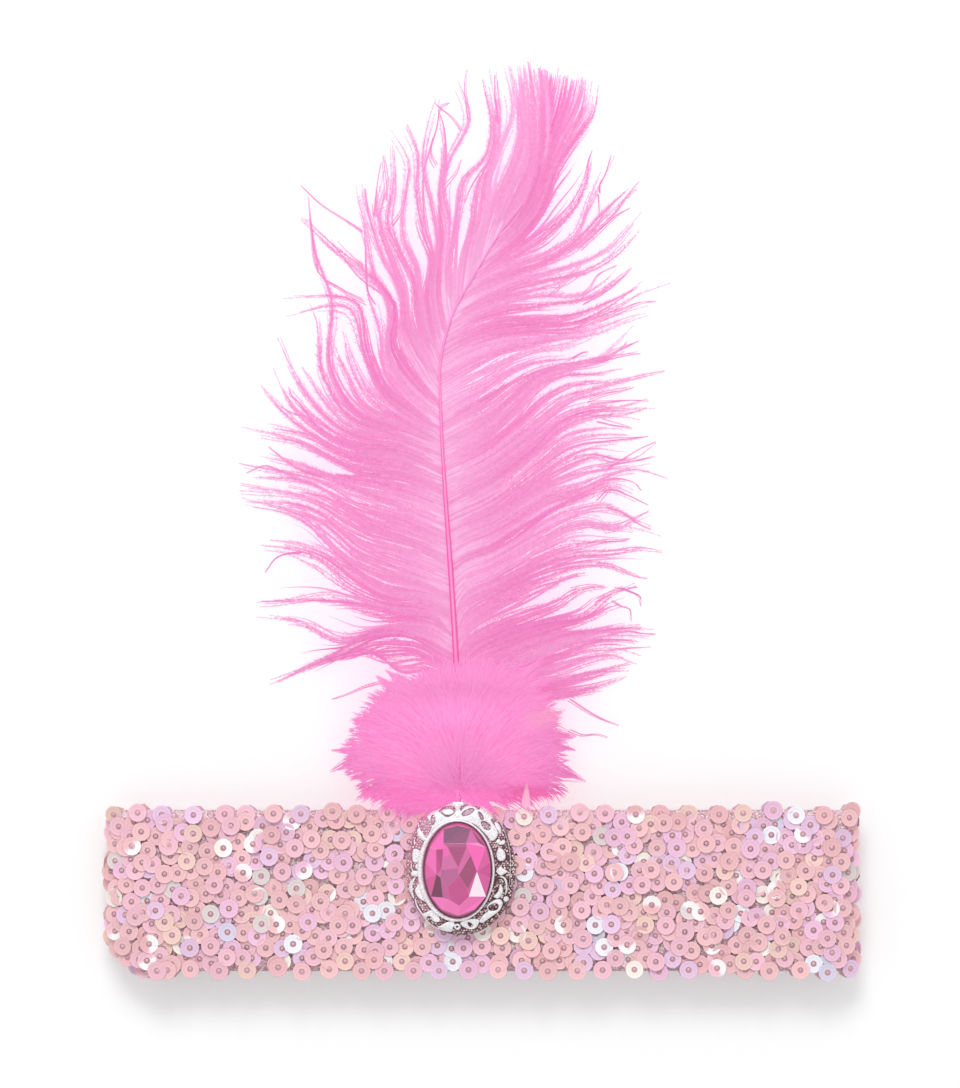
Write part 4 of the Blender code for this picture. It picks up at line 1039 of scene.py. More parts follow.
# Down: outline round its middle as angle in degrees and distance
DOWN_CENTRE = np.array((-5.8, 41.0))
DOWN_OUTLINE = (
    (0, 28), (22, 28.5), (40, 29), (60, 27), (92, 24), (115, 23.5), (138, 25), (152, 26.5), (168, 30),
    (185, 33.5), (200, 34.5), (218, 29.5), (226, 28.5), (238, 25), (252, 22), (270, 20.8), (290, 19.6),
    (318, 26.2), (331, 34), (345, 31),
)
DOWN_BARBS = 6800
DOWN_POINTS = 6
DOWN_WIDTH = ((0, 0.12), (0.4, 0.15), (1, 0.02))
DOWN_STEP = 0.5
DOWN_REACH = ((0, 0.6), (0.5, 1.3), (1, 0.5))
DOWN_LIE = (0.2, 0.15, 0.5)
# Short barbs: share of the outline's area with roots, lengths, how often and to which share a barb is cut
# that reaches past this share of the outline, and how much barbs turn aside
ROOTED_AREA = 0.8
FUR_LENGTHS = (6, 13)
FUR_CUTS = 3
CUT_SHARE = 0.6
FUR_LIMIT = 0.89
FUR_WANDER = 0.18
# Pointed tufts round the rim, and the angles that they leave free, where the down fades into the vane
DOWN_TUFTS = 50
TUFT_BARBS = 26
TUFTLESS = (48, 132)
# Where tufts end as share of the outline, lengths of their barbs, spread at the root and share of it at the
# tip, how far back and how evenly the barbs end, and how much a tuft bends
TUFT_SHARES = (0.92, 1.12)
TUFT_LENGTHS = (8, 14)
TUFT_SPREAD = 1.5
TIP_SPREAD = 0.12
TIP_DEPTH = 4
TIP_POWER = 1.5
TUFT_BOW = 0.7
# The down's lie in degrees above level: by distance from the quill, what is added by y, and its limits
DOWN_RISE = ((0, 84), (6, 64), (14, 32), (22, 10), (34, 0))
DOWN_FALL = ((20, -75), (27, -35), (34, -8), (42, 0), (60, 10))
RISE_LIMITS = (-80, 88)
# Level of the dome's top and of its rim over the floor, over the band and over the vane, and the y between
# which the rim climbs onto those two; shape of the dome, and how much flatter it is over the vane
DOWN_TOP = 17.2
DOWN_RIM = (4.8, 13.9, 13.7)
OVER_BAND = (27, 23)
OVER_VANE = (44, 56)
DOME_POWER = 2.4
DOME_FLATTER = 0.7
# Barbs lie in a layer over the dome and arch up from it
DOWN_LAYER = (-0.7, 0.3)
DOWN_ARCH = 0.4
# Between these y the down thins out and takes the vane's colour
DOWN_FADE = (44, 63)
# Core under the strands: share of the outline that it fills, how far it lies below them, how much further at
# its edge and between which shares, and its paleness
CORE_SHARES = np.linspace(0.02, 0.78, 14)
CORE_STEPS = 72
CORE_SINK = 1.1
CORE_DROP = 2.4
CORE_EDGE = (0.5, 0.8)
CORE_PALENESS = 0.4
DOWN_DEEP = linear(207, 109, 169)
DOWN_PALE = linear(212, 135, 184)
# A barb's paleness in the middle of the layer, how it grows upwards, and its scatter; barbs lower in the
# layer are darker, painted shade under the ones above
PALENESS = 0.6
PALENESS_RISE = 0.4
PALENESS_MIX = 0.08
# Down is deeper lower down, by how much and between which y; painted shade where it lies over the band
# at the right, between these y and x
LOW_DEPTH = 0.5
LOW_PART = (36, 22)
BAND_SHADE_TINT = np.array((0.92, 0.76, 0.82))
BAND_SHADE_Y = (30, 25)
BAND_SHADE_X = (2, 10)
# A pale blade beside the jewel: x, y and half width from tip to foot
PALE_BLADE = ((11.9, 29.4, 0.1), (11.8, 27.4, 0.5), (11.7, 25.2, 0.95), (11.6, 23.8, 1.15),
              (11.6, 22.8, 0.8))
BLADE_TONE = linear(210, 150, 176)
BLADE_LIFT = 1.6
# Share of the setting's ellipse that the down stays out of
SETTING_CLEAR = 1.04
# A paler patch at the right: x, y, radius and strength
PALE_PATCH = (17.5, 46.8, 5.5, 0.6)


def outline_reach(degrees):
    return lookup(DOWN_OUTLINE, degrees, 360)


def rim_share(spots):
    """How far out places x, y lie in the down: 0 at its centre, 1 on its outline."""
    x, y = np.moveaxis(spots - DOWN_CENTRE, -1, 0)
    return np.hypot(x, y) / outline_reach(np.degrees(np.arctan2(y, x)))


def down_level(spots):
    """Height of the soft dome at places x, y; its rim rests on the band below and on the vane above."""
    over_band, over_vane = fade(spots[..., 1], *OVER_BAND), fade(spots[..., 1], *OVER_VANE)
    on_floor, on_band, on_vane = DOWN_RIM
    rim = on_floor + (on_band - on_floor) * over_band + (on_vane - on_floor) * over_vane
    dome = np.clip(1 - rim_share(spots) ** DOME_POWER, 0, 1)
    return rim + (DOWN_TOP - rim) * dome * (1 - DOME_FLATTER * over_vane)


def down_heading(spots):
    """The lie of the down at places x, y: up along the quill, sideways further out, down over the band."""
    away = spots[..., 0] - DOWN_CENTRE[0]
    rise = lookup(DOWN_RISE, np.abs(away)) + lookup(DOWN_FALL, spots[..., 1])
    heading = spokes(np.radians(np.clip(rise, *RISE_LIMITS)))
    heading[..., 0] *= np.sign(away)
    return heading


def over_setting(spots):
    """Whether places x, y lie over the jewel, which stands in front of the down."""
    x, y, wide, tall = SETTING_ELLIPSES[2]
    return np.hypot((spots[..., 0] - x) / wide, (spots[..., 1] - y) / tall) < SETTING_CLEAR


def down_tones(spots, paleness):
    """Colour at x, y: deeper low down, painted shade over the band at the right, the vane's higher up."""
    x, y = spots[:, :1], spots[:, 1:]
    tones = blend(DOWN_DEEP, DOWN_PALE, np.clip(paleness[:, None] - LOW_DEPTH * fade(y, *LOW_PART), 0, 1))
    # Painted shade where the down lies over the band at the right
    tones = tones * (1 - fade(y, *BAND_SHADE_Y) * fade(x, *BAND_SHADE_X) * (1 - BAND_SHADE_TINT))
    patch_x, patch_y, radius, strength = PALE_PATCH
    tones = blend(tones, BLADE_TONE, strength * ease(1 - np.hypot(x - patch_x, y - patch_y) / radius))
    return blend(tones, (BARB_DEEP + BARB_PALE) / 2, fade(y, *DOWN_FADE))


def down_fur():
    """Short barbs rooted all over the dome and combed outwards; they thin out towards the vane."""
    angle = rng.uniform(0, 360, DOWN_BARBS)
    reach = outline_reach(angle) * np.sqrt(rng.uniform(0, ROOTED_AREA, DOWN_BARBS))
    spot = DOWN_CENTRE + spokes(np.radians(angle)) * reach[:, None]
    spot = spot[rng.uniform(0, 1, len(spot)) > fade(spot[:, 1], *DOWN_FADE)]
    length = rng.uniform(*FUR_LENGTHS, (len(spot), 1))
    for _ in range(FUR_CUTS):
        tip = spot + down_heading(spot) * length
        too_far = (rim_share(tip) > FUR_LIMIT) | over_setting(tip)
        length = np.where(too_far[:, None], length * CUT_SHARE, length)
    wander = rng.normal(0, FUR_WANDER, (len(spot), 1))
    path = [spot]
    for _ in range(DOWN_POINTS - 1):
        heading = down_heading(spot)
        spot = spot + (heading + wander * turned_left(heading)) * length / (DOWN_POINTS - 1)
        path.append(spot)
    return np.stack(path, 1)


def down_fringe():
    """Barbs that come together in pointed tufts round the rim."""
    free_from, free_to = TUFTLESS
    angle = free_to + np.sort(rng.uniform(0, 360 - (free_to - free_from), DOWN_TUFTS))
    reach = outline_reach(angle) * rng.uniform(*TUFT_SHARES, DOWN_TUFTS)
    outward = spokes(np.radians(angle))
    point = DOWN_CENTRE + outward * reach[:, None]
    heading = unit(outward + down_heading(point))
    heading, point = np.repeat(heading, TUFT_BARBS, 0), np.repeat(point, TUFT_BARBS, 0)
    sideways = turned_left(heading)
    column = (len(point), 1)
    spread = sideways * rng.normal(0, TUFT_SPREAD, column)
    tip = point - heading * TIP_DEPTH * rng.uniform(0, 1, column) ** TIP_POWER + spread * TIP_SPREAD
    root = point - heading * rng.uniform(*TUFT_LENGTHS, column) + spread
    share = np.linspace(0, 1, DOWN_POINTS)[None, :, None]
    bow = np.repeat(rng.normal(0, TUFT_BOW, DOWN_TUFTS), TUFT_BARBS)[:, None] * sideways
    return blend(root[:, None], tip[:, None], share) + bow[:, None] * np.sin(np.pi * share)


def down_core(patches):
    """A soft dome under the strands, so that nothing shows through between them."""
    turns = full_turn(CORE_STEPS)
    outward = spokes(turns) * outline_reach(np.degrees(turns))[:, None]
    spots = (DOWN_CENTRE + CORE_SHARES[:, None, None] * outward).reshape(-1, 2)
    drop = CORE_DROP * fade(np.repeat(CORE_SHARES, CORE_STEPS), *CORE_EDGE) ** 2
    vertices = np.column_stack([spots, down_level(spots) - CORE_SINK - drop])
    tones = down_tones(spots, np.full(len(spots), CORE_PALENESS))
    patches.add(vertices, ring_faces(len(CORE_SHARES), CORE_STEPS), tones)


def down_tuft(material):
    """Soft barbs over a dome at the foot of the plume, with a pale blade beside the jewel."""
    flat = np.concatenate([down_fur(), down_fringe()])
    flat = flat[~over_setting(flat).any(1)]
    layer = rng.uniform(*DOWN_LAYER, (len(flat), 1))
    level = down_level(flat) + layer + DOWN_ARCH * np.sin(np.pi * np.linspace(0, 1, DOWN_POINTS))
    barbs = np.concatenate([flat, level[..., None]], -1)
    # Barbs lower in the layer get a darker tint: painted shade
    paleness = PALENESS + PALENESS_RISE * layer[:, 0] + rng.normal(0, PALENESS_MIX, len(flat))
    tones = down_tones(flat[:, DOWN_POINTS // 2], paleness)
    vertices, faces = barb_ribbons(barbs, DOWN_WIDTH)
    fluff, fluff_faces, owner, _ = barbules(barbs, DOWN_STEP, DOWN_REACH, DOWN_LIE)
    patches = Patches()
    down_core(patches)
    patches.add(vertices, faces, np.repeat(tones, vertices.shape[1] * vertices.shape[2], 0))
    patches.add(fluff, fluff_faces, np.repeat(tones[owner], 3, 0))
    blade = np.array(PALE_BLADE)
    middle = np.column_stack([blade[:, :2], down_level(blade[:, :2]) + BLADE_LIFT])
    widths = np.column_stack([np.linspace(0, 1, len(blade)), blade[:, 2]])
    patches.add(*barb_ribbons(middle[None], widths), BLADE_TONE)
    patches.piece("down_tuft", material, "pink_down", "down_puff").visible_shadow = False


# Jewel
PHOTO_ORIGIN = np.array((482.0, 892.0))
SETTING_BASE = float(box_corners("jewel_setting")[0][2])
# Ellipses of the setting as centre x, y and half sizes: the stone's seat, the bezel's outer edge, the rim
SETTING_ELLIPSES = np.array(((-6.45, 6.25, 9.1, 12.7), (-6.8, 6.15, 10.15, 13.5), (-5.6, 5.9, 14.5, 17.05)))
# Where the cast leaves swell the rim past its ellipse: angle in degrees and share
RIM_SWELL = (
    (0, 1), (29, 1.005), (43, 1.03), (56, 1.02), (68, 1.05), (80, 1.03), (94, 1.02), (111, 1.055),
    (134, 1.065), (146, 1.045), (156, 1.01), (168, 1), (220, 1), (300, 1),
)
# Height over the base at each station: 0 is the seat, 1 the bezel's outer edge, 2 the rim
SEAT_HEIGHT = 2.9
BEZEL_HEIGHTS = ((0, 3.9), (0.12, 4.35), (0.4, 4.6), (0.7, 4.55), (0.9, 4.3), (1, 3.6))
GROUND_HEIGHTS = ((1, 3.45), (1.08, 3.3), (1.4, 3.3), (1.65, 2.95), (1.85, 2.4), (1.95, 1.9), (2, 1.4))
BORDER_STATIONS = (1.02, 2)
LAST_STATION = 2.2
HALVINGS = 14
SETTING_STEPS = 720
RELIEF_RINGS = 44
SHOULDER = 0.4
# How far each shape spreads past its traced outline
PLATE_SPREAD = 0.08
OUTLINE_PARTS = 4
SILVER = linear(243, 240, 243)
LIGHT_GRAIN = linear(238, 214, 216)
# Depths inside a silver shape between which its silver sets in
SILVER_EDGE = (-0.02, 0.08)
# Dark lines beside the silver, painted shade in the crease at the foot of each shape: how dark, at which
# depth and how wide
CREASE_SHADE = 0.45
CREASE_SHADE_DEPTH = -0.12
CREASE_SHADE_WIDTH = 0.14
# Colour in the recesses by the angle from the setting's centre: painted light and a pink reflection at
# the top and left, painted shade at the right and below
GROUND_TONES = (
    (0, (92, 54, 62)), (40, (122, 74, 90)), (65, (186, 146, 168)), (110, (210, 164, 190)),
    (140, (196, 128, 158)), (180, (186, 122, 144)), (215, (164, 108, 128)), (245, (124, 80, 92)),
    (270, (100, 60, 68)), (315, (86, 48, 56)),
)
# Silver shapes of the border: rise, outline in pixels, then outlines of pits in it
PLATES = (
    (0.75,
     (429.5, 833, 432, 826, 430, 820, 427, 815, 429, 809, 434, 807, 440, 811, 447, 816, 454, 812.5,
      456, 807.5, 453, 803, 463, 803, 460.3, 807, 461, 810, 465, 806, 470, 804.5, 475, 806, 479, 809,
      481, 806.3, 485, 808.5, 493, 816.5, 491, 819, 497, 829, 497.5, 834, 495, 838, 491, 839.5,
      488, 835.5, 482, 829, 475, 823, 467, 819.8, 459, 818.5, 451, 819.5, 444, 822.5, 438, 827.5),
     (431.5, 816, 433.5, 814, 435.5, 818, 434.5, 822, 432.5, 824, 431, 820),
     (462, 812.5, 465, 809.5, 470, 807.5, 474, 808, 473.3, 810.6, 469, 813.5, 464, 814.8),
     (478.5, 811, 481, 812, 483.5, 816, 483, 819, 480.5, 817.5),
     (481.5, 820.3, 486, 820.5, 490.3, 824, 489.8, 828.3, 486, 828.3, 482.5, 825)),
    (0.7, (442, 810.3, 444, 808.5, 449, 807.7, 453, 809, 453.8, 811, 451, 813, 446, 813.3)),
    (0.6, (417.5, 829, 419, 827.8, 421, 829.5, 424, 834, 427, 837.5, 426, 839.5, 423, 839, 420, 836,
           418, 832.5)),
    (0.6, (414, 848, 419, 848.5, 420.5, 852, 420, 860, 414, 860.5, 412.8, 855)),
    (0.55, (417, 862.5, 420, 863, 420.5, 866, 418, 868, 415.8, 866)),
    (0.6, (412, 870.5, 419, 869.5, 421, 873.3, 417, 875, 412, 873.8)),
    (0.65, (421, 880.5, 424.5, 887, 428, 894, 433, 901.5, 428, 901, 421.5, 898, 417.5, 894, 415.3, 889.5,
            417.5, 884.5)),
    (0.65, (422.5, 913, 427, 910.5, 431, 908.5, 435, 910.5, 439, 915, 440, 919, 436.5, 920.5, 432.5, 918.5,
            431, 915, 428, 914.5, 426, 917.5, 424, 916)),
    (0.6, (438, 925.5, 441, 924, 446, 921, 452, 919.5, 455, 922, 453, 926, 452, 930, 447, 930, 441, 928.5)),
    (0.55, (454.3, 925, 455.5, 922.6, 458, 922, 460.3, 923.5, 460.6, 926, 458.7, 928, 456, 927.6),
     (456.3, 925, 457.3, 924, 458.4, 925, 457.3, 926.1)),
    (0.6, (460.5, 921.3, 463, 919.5, 468, 918, 475, 917, 479, 919, 478, 923.5, 475.5, 926.5, 471, 927.8,
           466.5, 926.5, 462.5, 924.3),
     (468.3, 920.5, 471.5, 921.8, 473.2, 924.5, 471, 925.5, 468.7, 923.5)),
    (0.7, (487, 905, 491, 900.5, 497, 897.7, 501, 898.5, 502.7, 902, 501, 906.5, 498, 910.5, 493, 914,
           488, 917.5, 483, 921, 479.5, 920, 481.5, 915.5, 485, 912, 488.5, 909),
     (488.7, 904.8, 492, 902.5, 496, 902, 498.5, 904, 497, 908, 492, 909, 489, 907.8)),
    (0.6, (503.5, 897.5, 504.7, 895.4, 507, 895.2, 508.7, 897, 508.3, 899.3, 506, 900.3, 504, 899.3)),
    (0.7, (500, 883, 502.5, 886, 502.8, 890, 500.5, 895, 497, 896.7, 493.5, 895, 496, 892.5, 498.5, 889)),
    (0.7, (496.5, 870, 499, 866, 501, 865, 503.5, 867.5, 507.5, 870, 504, 872.5, 500.5, 874)),
    (0.75, (496.5, 853, 498, 848, 499.2, 846, 503, 848.5, 505, 852, 505.2, 857, 502.5, 859.3, 498.5, 858.7)),
    (0.6, (496, 840.5, 499, 837.5, 501, 840, 504, 838.5, 505, 842, 500.5, 843.5)),
    (0.5, (495, 821, 498.5, 823, 501, 828, 500.5, 832.5, 498, 829, 495.5, 825)),
)
# Raised lines of the border: half width in pixels at both ends and in the middle, rise, then points
LINES = (
    (0.9, 1.3, 0.6, (438, 809.5, 443, 805.5, 450, 803.8, 455.5, 806)),
    (0.8, 2.0, 0.5, (415.5, 876, 411.8, 882, 411.3, 889, 414, 896.5)),
    (0.8, 1.1, 0.5, (415.5, 898, 417.5, 905, 421.5, 911.5, 426, 918, 432, 924, 439, 928)),
    (0.5, 1.2, 0.5, (499, 875, 503.5, 876, 506, 880, 506.5, 886, 505.3, 893.5)),
    (0.35, 0.5, 0.35, (499, 819, 505, 832, 508.8, 845, 510.3, 857, 510.3, 870, 509.3, 882, 506.5, 892)),
    (0.4, 0.8, 0.4, (412.5, 861, 411.5, 864, 412.5, 868.5, 416, 870.5)),
    (0.4, 0.7, 0.4, (419.5, 818, 418.5, 823, 420.5, 829, 425, 834)),
    (0.4, 0.7, 0.4, (416, 836, 414.5, 840, 415.5, 844.5)),
)
# Stem and bar of the finial: both ends in pixels, radius there and halfway
FINIAL_PARTS = (((457.6, 814, 457.8, 804.5), 0.85, 0.5), ((453.5, 802.6, 463, 802.6), 0.5, 0.56))
FINIAL_HEIGHT = 3.5
FINIAL_FLATTEN = 0.9
FINIAL_POINTS = 9
FINIAL_SIDES = 10
# Grains: spacing and distance of their rows as share of it, scatter, radii, and rings as share of the radius
# and height, a share of it too
GRAIN_SPACING = 0.7
GRAIN_ROWS = 0.87
GRAIN_JITTER = 0.08
GRAIN_RADII = (0.27, 0.37)
GRAIN_RINGS = ((1, -0.1), (0.75, 0.65))
GRAIN_STEPS = 6
# Grains reach this far past the ellipse, lie between these stations and keep this far from the silver
GRAIN_TALL = 1.06
GRAIN_STATIONS = (1.05, 1.97)
GRAIN_GAP = 0.12
GRAIN_LIGHT_POWER = 0.75


def traced(points):
    """Points traced in photo pixels as places x, y in millimetres."""
    return (np.reshape(points, (-1, 2)) - PHOTO_ORIGIN) * (1, -1) / PIXELS_PER_MM


def border_ring(stations, turns):
    """Centre x, y and half sizes of the setting's outline at these stations and angles."""
    x, y, wide, tall = (np.interp(stations, (0, 1, 2), column) for column in SETTING_ELLIPSES.T)
    swell = 1 + (lookup(RIM_SWELL, np.degrees(turns), 360) - 1) * np.clip(stations - 1, 0, 1)
    return x, y, wide * swell, tall * swell


def border_station(spots):
    """Station of places x, y on the setting, found by halving."""
    low, high = np.zeros(len(spots)), np.full(len(spots), LAST_STATION)
    for _ in range(HALVINGS):
        middle = (low + high) / 2
        x, y, wide, tall = border_ring(middle, 0)
        turns = np.arctan2((spots[:, 1] - y) / tall, (spots[:, 0] - x) / wide)
        x, y, wide, tall = border_ring(middle, turns)
        outside = np.hypot((spots[:, 0] - x) / wide, (spots[:, 1] - y) / tall) > 1
        low, high = np.where(outside, middle, low), np.where(outside, high, middle)
    return low


def closed_outline(points):
    """A smooth closed outline through traced points."""
    corners = traced(points)
    looped = np.vstack([corners[-2:], corners, corners[:2]])
    return smooth_curve(np.arange(len(looped)) - 2, looped, np.arange(0, len(corners), 1 / OUTLINE_PARTS))


def distance_to(spots, start, end):
    """Distance from places to the nearest of some straight parts, and which part and share of it."""
    run = end - start
    offset = spots[:, None] - start
    share = np.clip((offset * run).sum(-1) / (run * run).sum(-1), 0, 1)
    distance = np.linalg.norm(offset - share[..., None] * run, axis=-1)
    nearest = distance.argmin(1)
    row = np.arange(len(spots))
    return distance[row, nearest], nearest + share[row, nearest]


def depth_inside(spots, outline):
    """How deep places lie inside a closed outline, below zero outside it."""
    start, end = outline, np.roll(outline, -1, 0)
    x, y = spots[:, :1], spots[:, 1:]
    crossed = (start[:, 1] > y) != (end[:, 1] > y)
    fall = np.where(np.abs(end[:, 1] - start[:, 1]) < 1e-9, 1e-9, end[:, 1] - start[:, 1])
    left_of = x < start[:, 0] + (y - start[:, 1]) / fall * (end[:, 0] - start[:, 0])
    inside = (crossed & left_of).sum(1) % 2 == 1
    return distance_to(spots, start, end)[0] * np.where(inside, 1, -1)


def close_to(spots, outline):
    """Which of the places x, y lie in an outline's box or within a millimetre of it."""
    return np.flatnonzero(np.all((spots > outline.min(0) - 1) & (spots < outline.max(0) + 1), -1))


def relief_at(spots):
    """Depth inside the nearest silver shape at places x, y, and how high that shape rises there."""
    depth, rise = np.full(len(spots), -1.0), np.zeros(len(spots))

    def lay(near, inside, height):
        """Raises those places that lie deeper in this shape than in the ones before it."""
        deeper = inside > depth[near]
        rise[near[deeper]] = height[deeper]
        depth[near[deeper]] = inside[deeper]

    for height, outer, *pits in PLATES:
        outline = closed_outline(outer)
        near = close_to(spots, outline)
        inside = depth_inside(spots[near], outline) + PLATE_SPREAD
        for pit in pits:
            inside = np.minimum(inside, -depth_inside(spots[near], closed_outline(pit)))
        lay(near, inside, height * np.sqrt(1 - (1 - np.clip(inside / SHOULDER, 0, 1)) ** 2))
    for end_half, middle_half, height, points in LINES:
        corners = traced(points)
        count = len(corners)
        line = smooth_curve(np.arange(count), corners, np.linspace(0, count - 1, OUTLINE_PARTS * count))
        near = close_to(spots, line)
        distance, along = distance_to(spots[near], line[:-1], line[1:])
        bulge = np.sin(np.pi * along / (len(line) - 1))
        half = (end_half + (middle_half - end_half) * bulge) / PIXELS_PER_MM
        lay(near, half - distance, height * np.sqrt(1 - np.clip(distance / half, 0, 1) ** 2))
    return depth, rise


def ground_tone(spots):
    """Colour in the recesses: painted light and a pink reflection at the top and left, painted shade in
    dark brown at the right and below.
    """
    x, y = (spots - SETTING_ELLIPSES[2, :2]).T
    tones = [(angle, *linear(*colour)) for angle, colour in GROUND_TONES]
    return np.stack(lookup(tones, np.degrees(np.arctan2(y, x)), 360), -1)


def setting_frame(material):
    """Bezel ring round the stone's seat, and the border with its raised leaves and scrolls."""
    turns = full_turn(SETTING_STEPS)
    stations = np.linspace(*BORDER_STATIONS, RELIEF_RINGS)
    rows = [(0, SEAT_HEIGHT, False)]
    rows += [(station, height, True) for station, height in BEZEL_HEIGHTS]
    rows += [(station, height, False) for station, height in zip(stations, lookup(GROUND_HEIGHTS, stations))]
    rows.append((2, 0, True))
    rings, tints = [], []
    for station, height, bright in rows:
        x, y, wide, tall = border_ring(np.full(SETTING_STEPS, station), turns)
        spots = np.stack([x + wide * np.cos(turns), y + tall * np.sin(turns)], -1)
        depth, rise = np.full(SETTING_STEPS, -1.0), np.zeros(SETTING_STEPS)
        if station > 1 and height > 0:
            depth, rise = relief_at(spots)
        rings.append(np.column_stack([spots, SETTING_BASE + height + rise]))
        silver = np.ones(SETTING_STEPS) if bright else fade(depth, *SILVER_EDGE)
        # Painted shade in the crease beside the silver
        crease_shade = 1 - CREASE_SHADE * np.exp(-(((depth - CREASE_SHADE_DEPTH) / CREASE_SHADE_WIDTH) ** 2))
        tints.append(blend(ground_tone(spots) * crease_shade[:, None], SILVER, silver[:, None]))
    size = len(rings) * SETTING_STEPS
    seat = np.append(SETTING_ELLIPSES[0, :2], SETTING_BASE + SEAT_HEIGHT)
    under = np.append(SETTING_ELLIPSES[2, :2], SETTING_BASE)
    faces = [ring_faces(len(rings), SETTING_STEPS)[:, ::-1], cap_faces(size, 0, SETTING_STEPS),
             cap_faces(size + 1, size - SETTING_STEPS, SETTING_STEPS, True)]
    tints = np.clip(np.vstack([*tints, tints[0][:1], SILVER]), 0, 1)
    frame_mesh = Patches()
    frame_mesh.add(np.vstack([*rings, seat, under]), np.concatenate(faces), tints)
    frame_mesh.piece("setting_frame", material, "silver", "jewel_setting", sharp=60)


def setting_finial(material):
    """The bar over the top of the setting, on a stem that flares into it."""
    share = np.linspace(0, 1, FINIAL_POINTS)[:, None]
    level = np.full(FINIAL_POINTS, SETTING_BASE + FINIAL_HEIGHT)
    finial = Patches()
    for ends, end_radius, middle_radius in FINIAL_PARTS:
        line = np.column_stack([blend(*traced(ends), share), level])
        radii = blend(end_radius, middle_radius, np.sin(np.pi * share[:, 0]))
        finial.add(*sweep(line, radii, FINIAL_SIDES, FINIAL_FLATTEN), SILVER)
    finial.piece("setting_finial", material, "silver", "jewel_setting", sharp=40)


def setting_grains(material):
    """Cast grains that fill the recesses and the outer rim."""
    x, y, wide, tall = SETTING_ELLIPSES[2]
    tall *= GRAIN_TALL
    xs, ys = np.meshgrid(np.arange(x - wide, x + wide, GRAIN_SPACING),
                         np.arange(y - tall, y + tall, GRAIN_SPACING * GRAIN_ROWS))
    xs += GRAIN_SPACING / 2 * (np.arange(len(ys)) % 2)[:, None]
    spots = np.stack([xs.ravel(), ys.ravel()], -1)
    spots += rng.normal(0, GRAIN_JITTER, spots.shape)
    station = border_station(spots)
    first, last = GRAIN_STATIONS
    open_ground = (station > first) & (station < last) & (relief_at(spots)[0] < -GRAIN_GAP)
    spots = spots[open_ground]
    level = SETTING_BASE + lookup(GROUND_HEIGHTS, station[open_ground])
    radius = rng.uniform(*GRAIN_RADII, len(spots))
    rings = []
    for reach, rise in GRAIN_RINGS:
        ring = spots[:, None] + spokes(full_turn(GRAIN_STEPS)) * radius[:, None, None] * reach
        height = np.repeat((level + rise * radius)[:, None, None], GRAIN_STEPS, 1)
        rings.append(np.concatenate([ring, height], -1))
    top = np.column_stack([spots, level + radius])[:, None]
    size = len(rings) * GRAIN_STEPS
    faces = [ring_faces(len(rings), GRAIN_STEPS), cap_faces(size, size - GRAIN_STEPS, GRAIN_STEPS)]
    # Grains take the recesses' colour with its painted light and shade, and some are lighter at random
    light = rng.uniform(0, 1, (len(spots), 1)) ** GRAIN_LIGHT_POWER
    tones = np.repeat(blend(ground_tone(spots), LIGHT_GRAIN, light), size + 1, 0)
    grains = Patches()
    faces = repeat_faces(np.concatenate(faces), size + 1, len(spots))
    grains.add(np.concatenate([*rings, top], 1), faces, tones)
    grains.piece("setting_grains", material, "silver", "jewel_setting", sharp=60)


# Stone: corners traced in photo pixels, then facets as corner names with their colour; the colours are
# painted reflections inside the stone, light and dark, and the near-white facet is a painted glare
STONE_CENTRE = np.array((-6.38, 6.24))
STONE_HALF = np.array((8.85, 12.5))
STONE_TABLE = 7.0
STONE_GIRDLE = 4.0
STONE_BASE = 3.2
STONE_STEPS = 120
# Share of the stone's half size, squared, that the flat table reaches to, and fall of the slope round it as
# share of the way down to the girdle
TABLE_REACH = 0.38
SLOPE_FALL = 0.35
STONE_CORNERS = {
    "t1": (444, 827), "t2": (458, 823.5), "t3": (471, 827), "t4": (480, 837), "t5": (486, 845),
    "t6": (490, 860), "t7": (490, 876), "t8": (486, 894), "t9": (475, 906.5), "t10": (459, 912.5),
    "t11": (442, 906.5), "t12": (431.5, 894), "t13": (426.3, 876), "t14": (426.3, 860),
    "t15": (430.8, 845), "t16": (438, 834.5),
    "a": (448, 844.5), "b": (467, 844), "c": (477, 868.7), "d": (469, 893.6), "e": (443.3, 894.7),
    "f": (441.5, 867), "g": (436.5, 847), "h": (443.5, 846.3), "i": (443.8, 841.3), "j": (466.3, 841),
    "k": (450.5, 897.3), "l": (478.5, 840.3), "m": (458.5, 865), "n": (459, 872.5), "o": (471, 852.5),
    "p": (468, 886), "q": (448, 884), "r": (459.5, 903), "s": (451.5, 851.5), "u": (437, 871.5),
    "v": (441, 875), "w": (443, 855), "x": (465.5, 826),
}
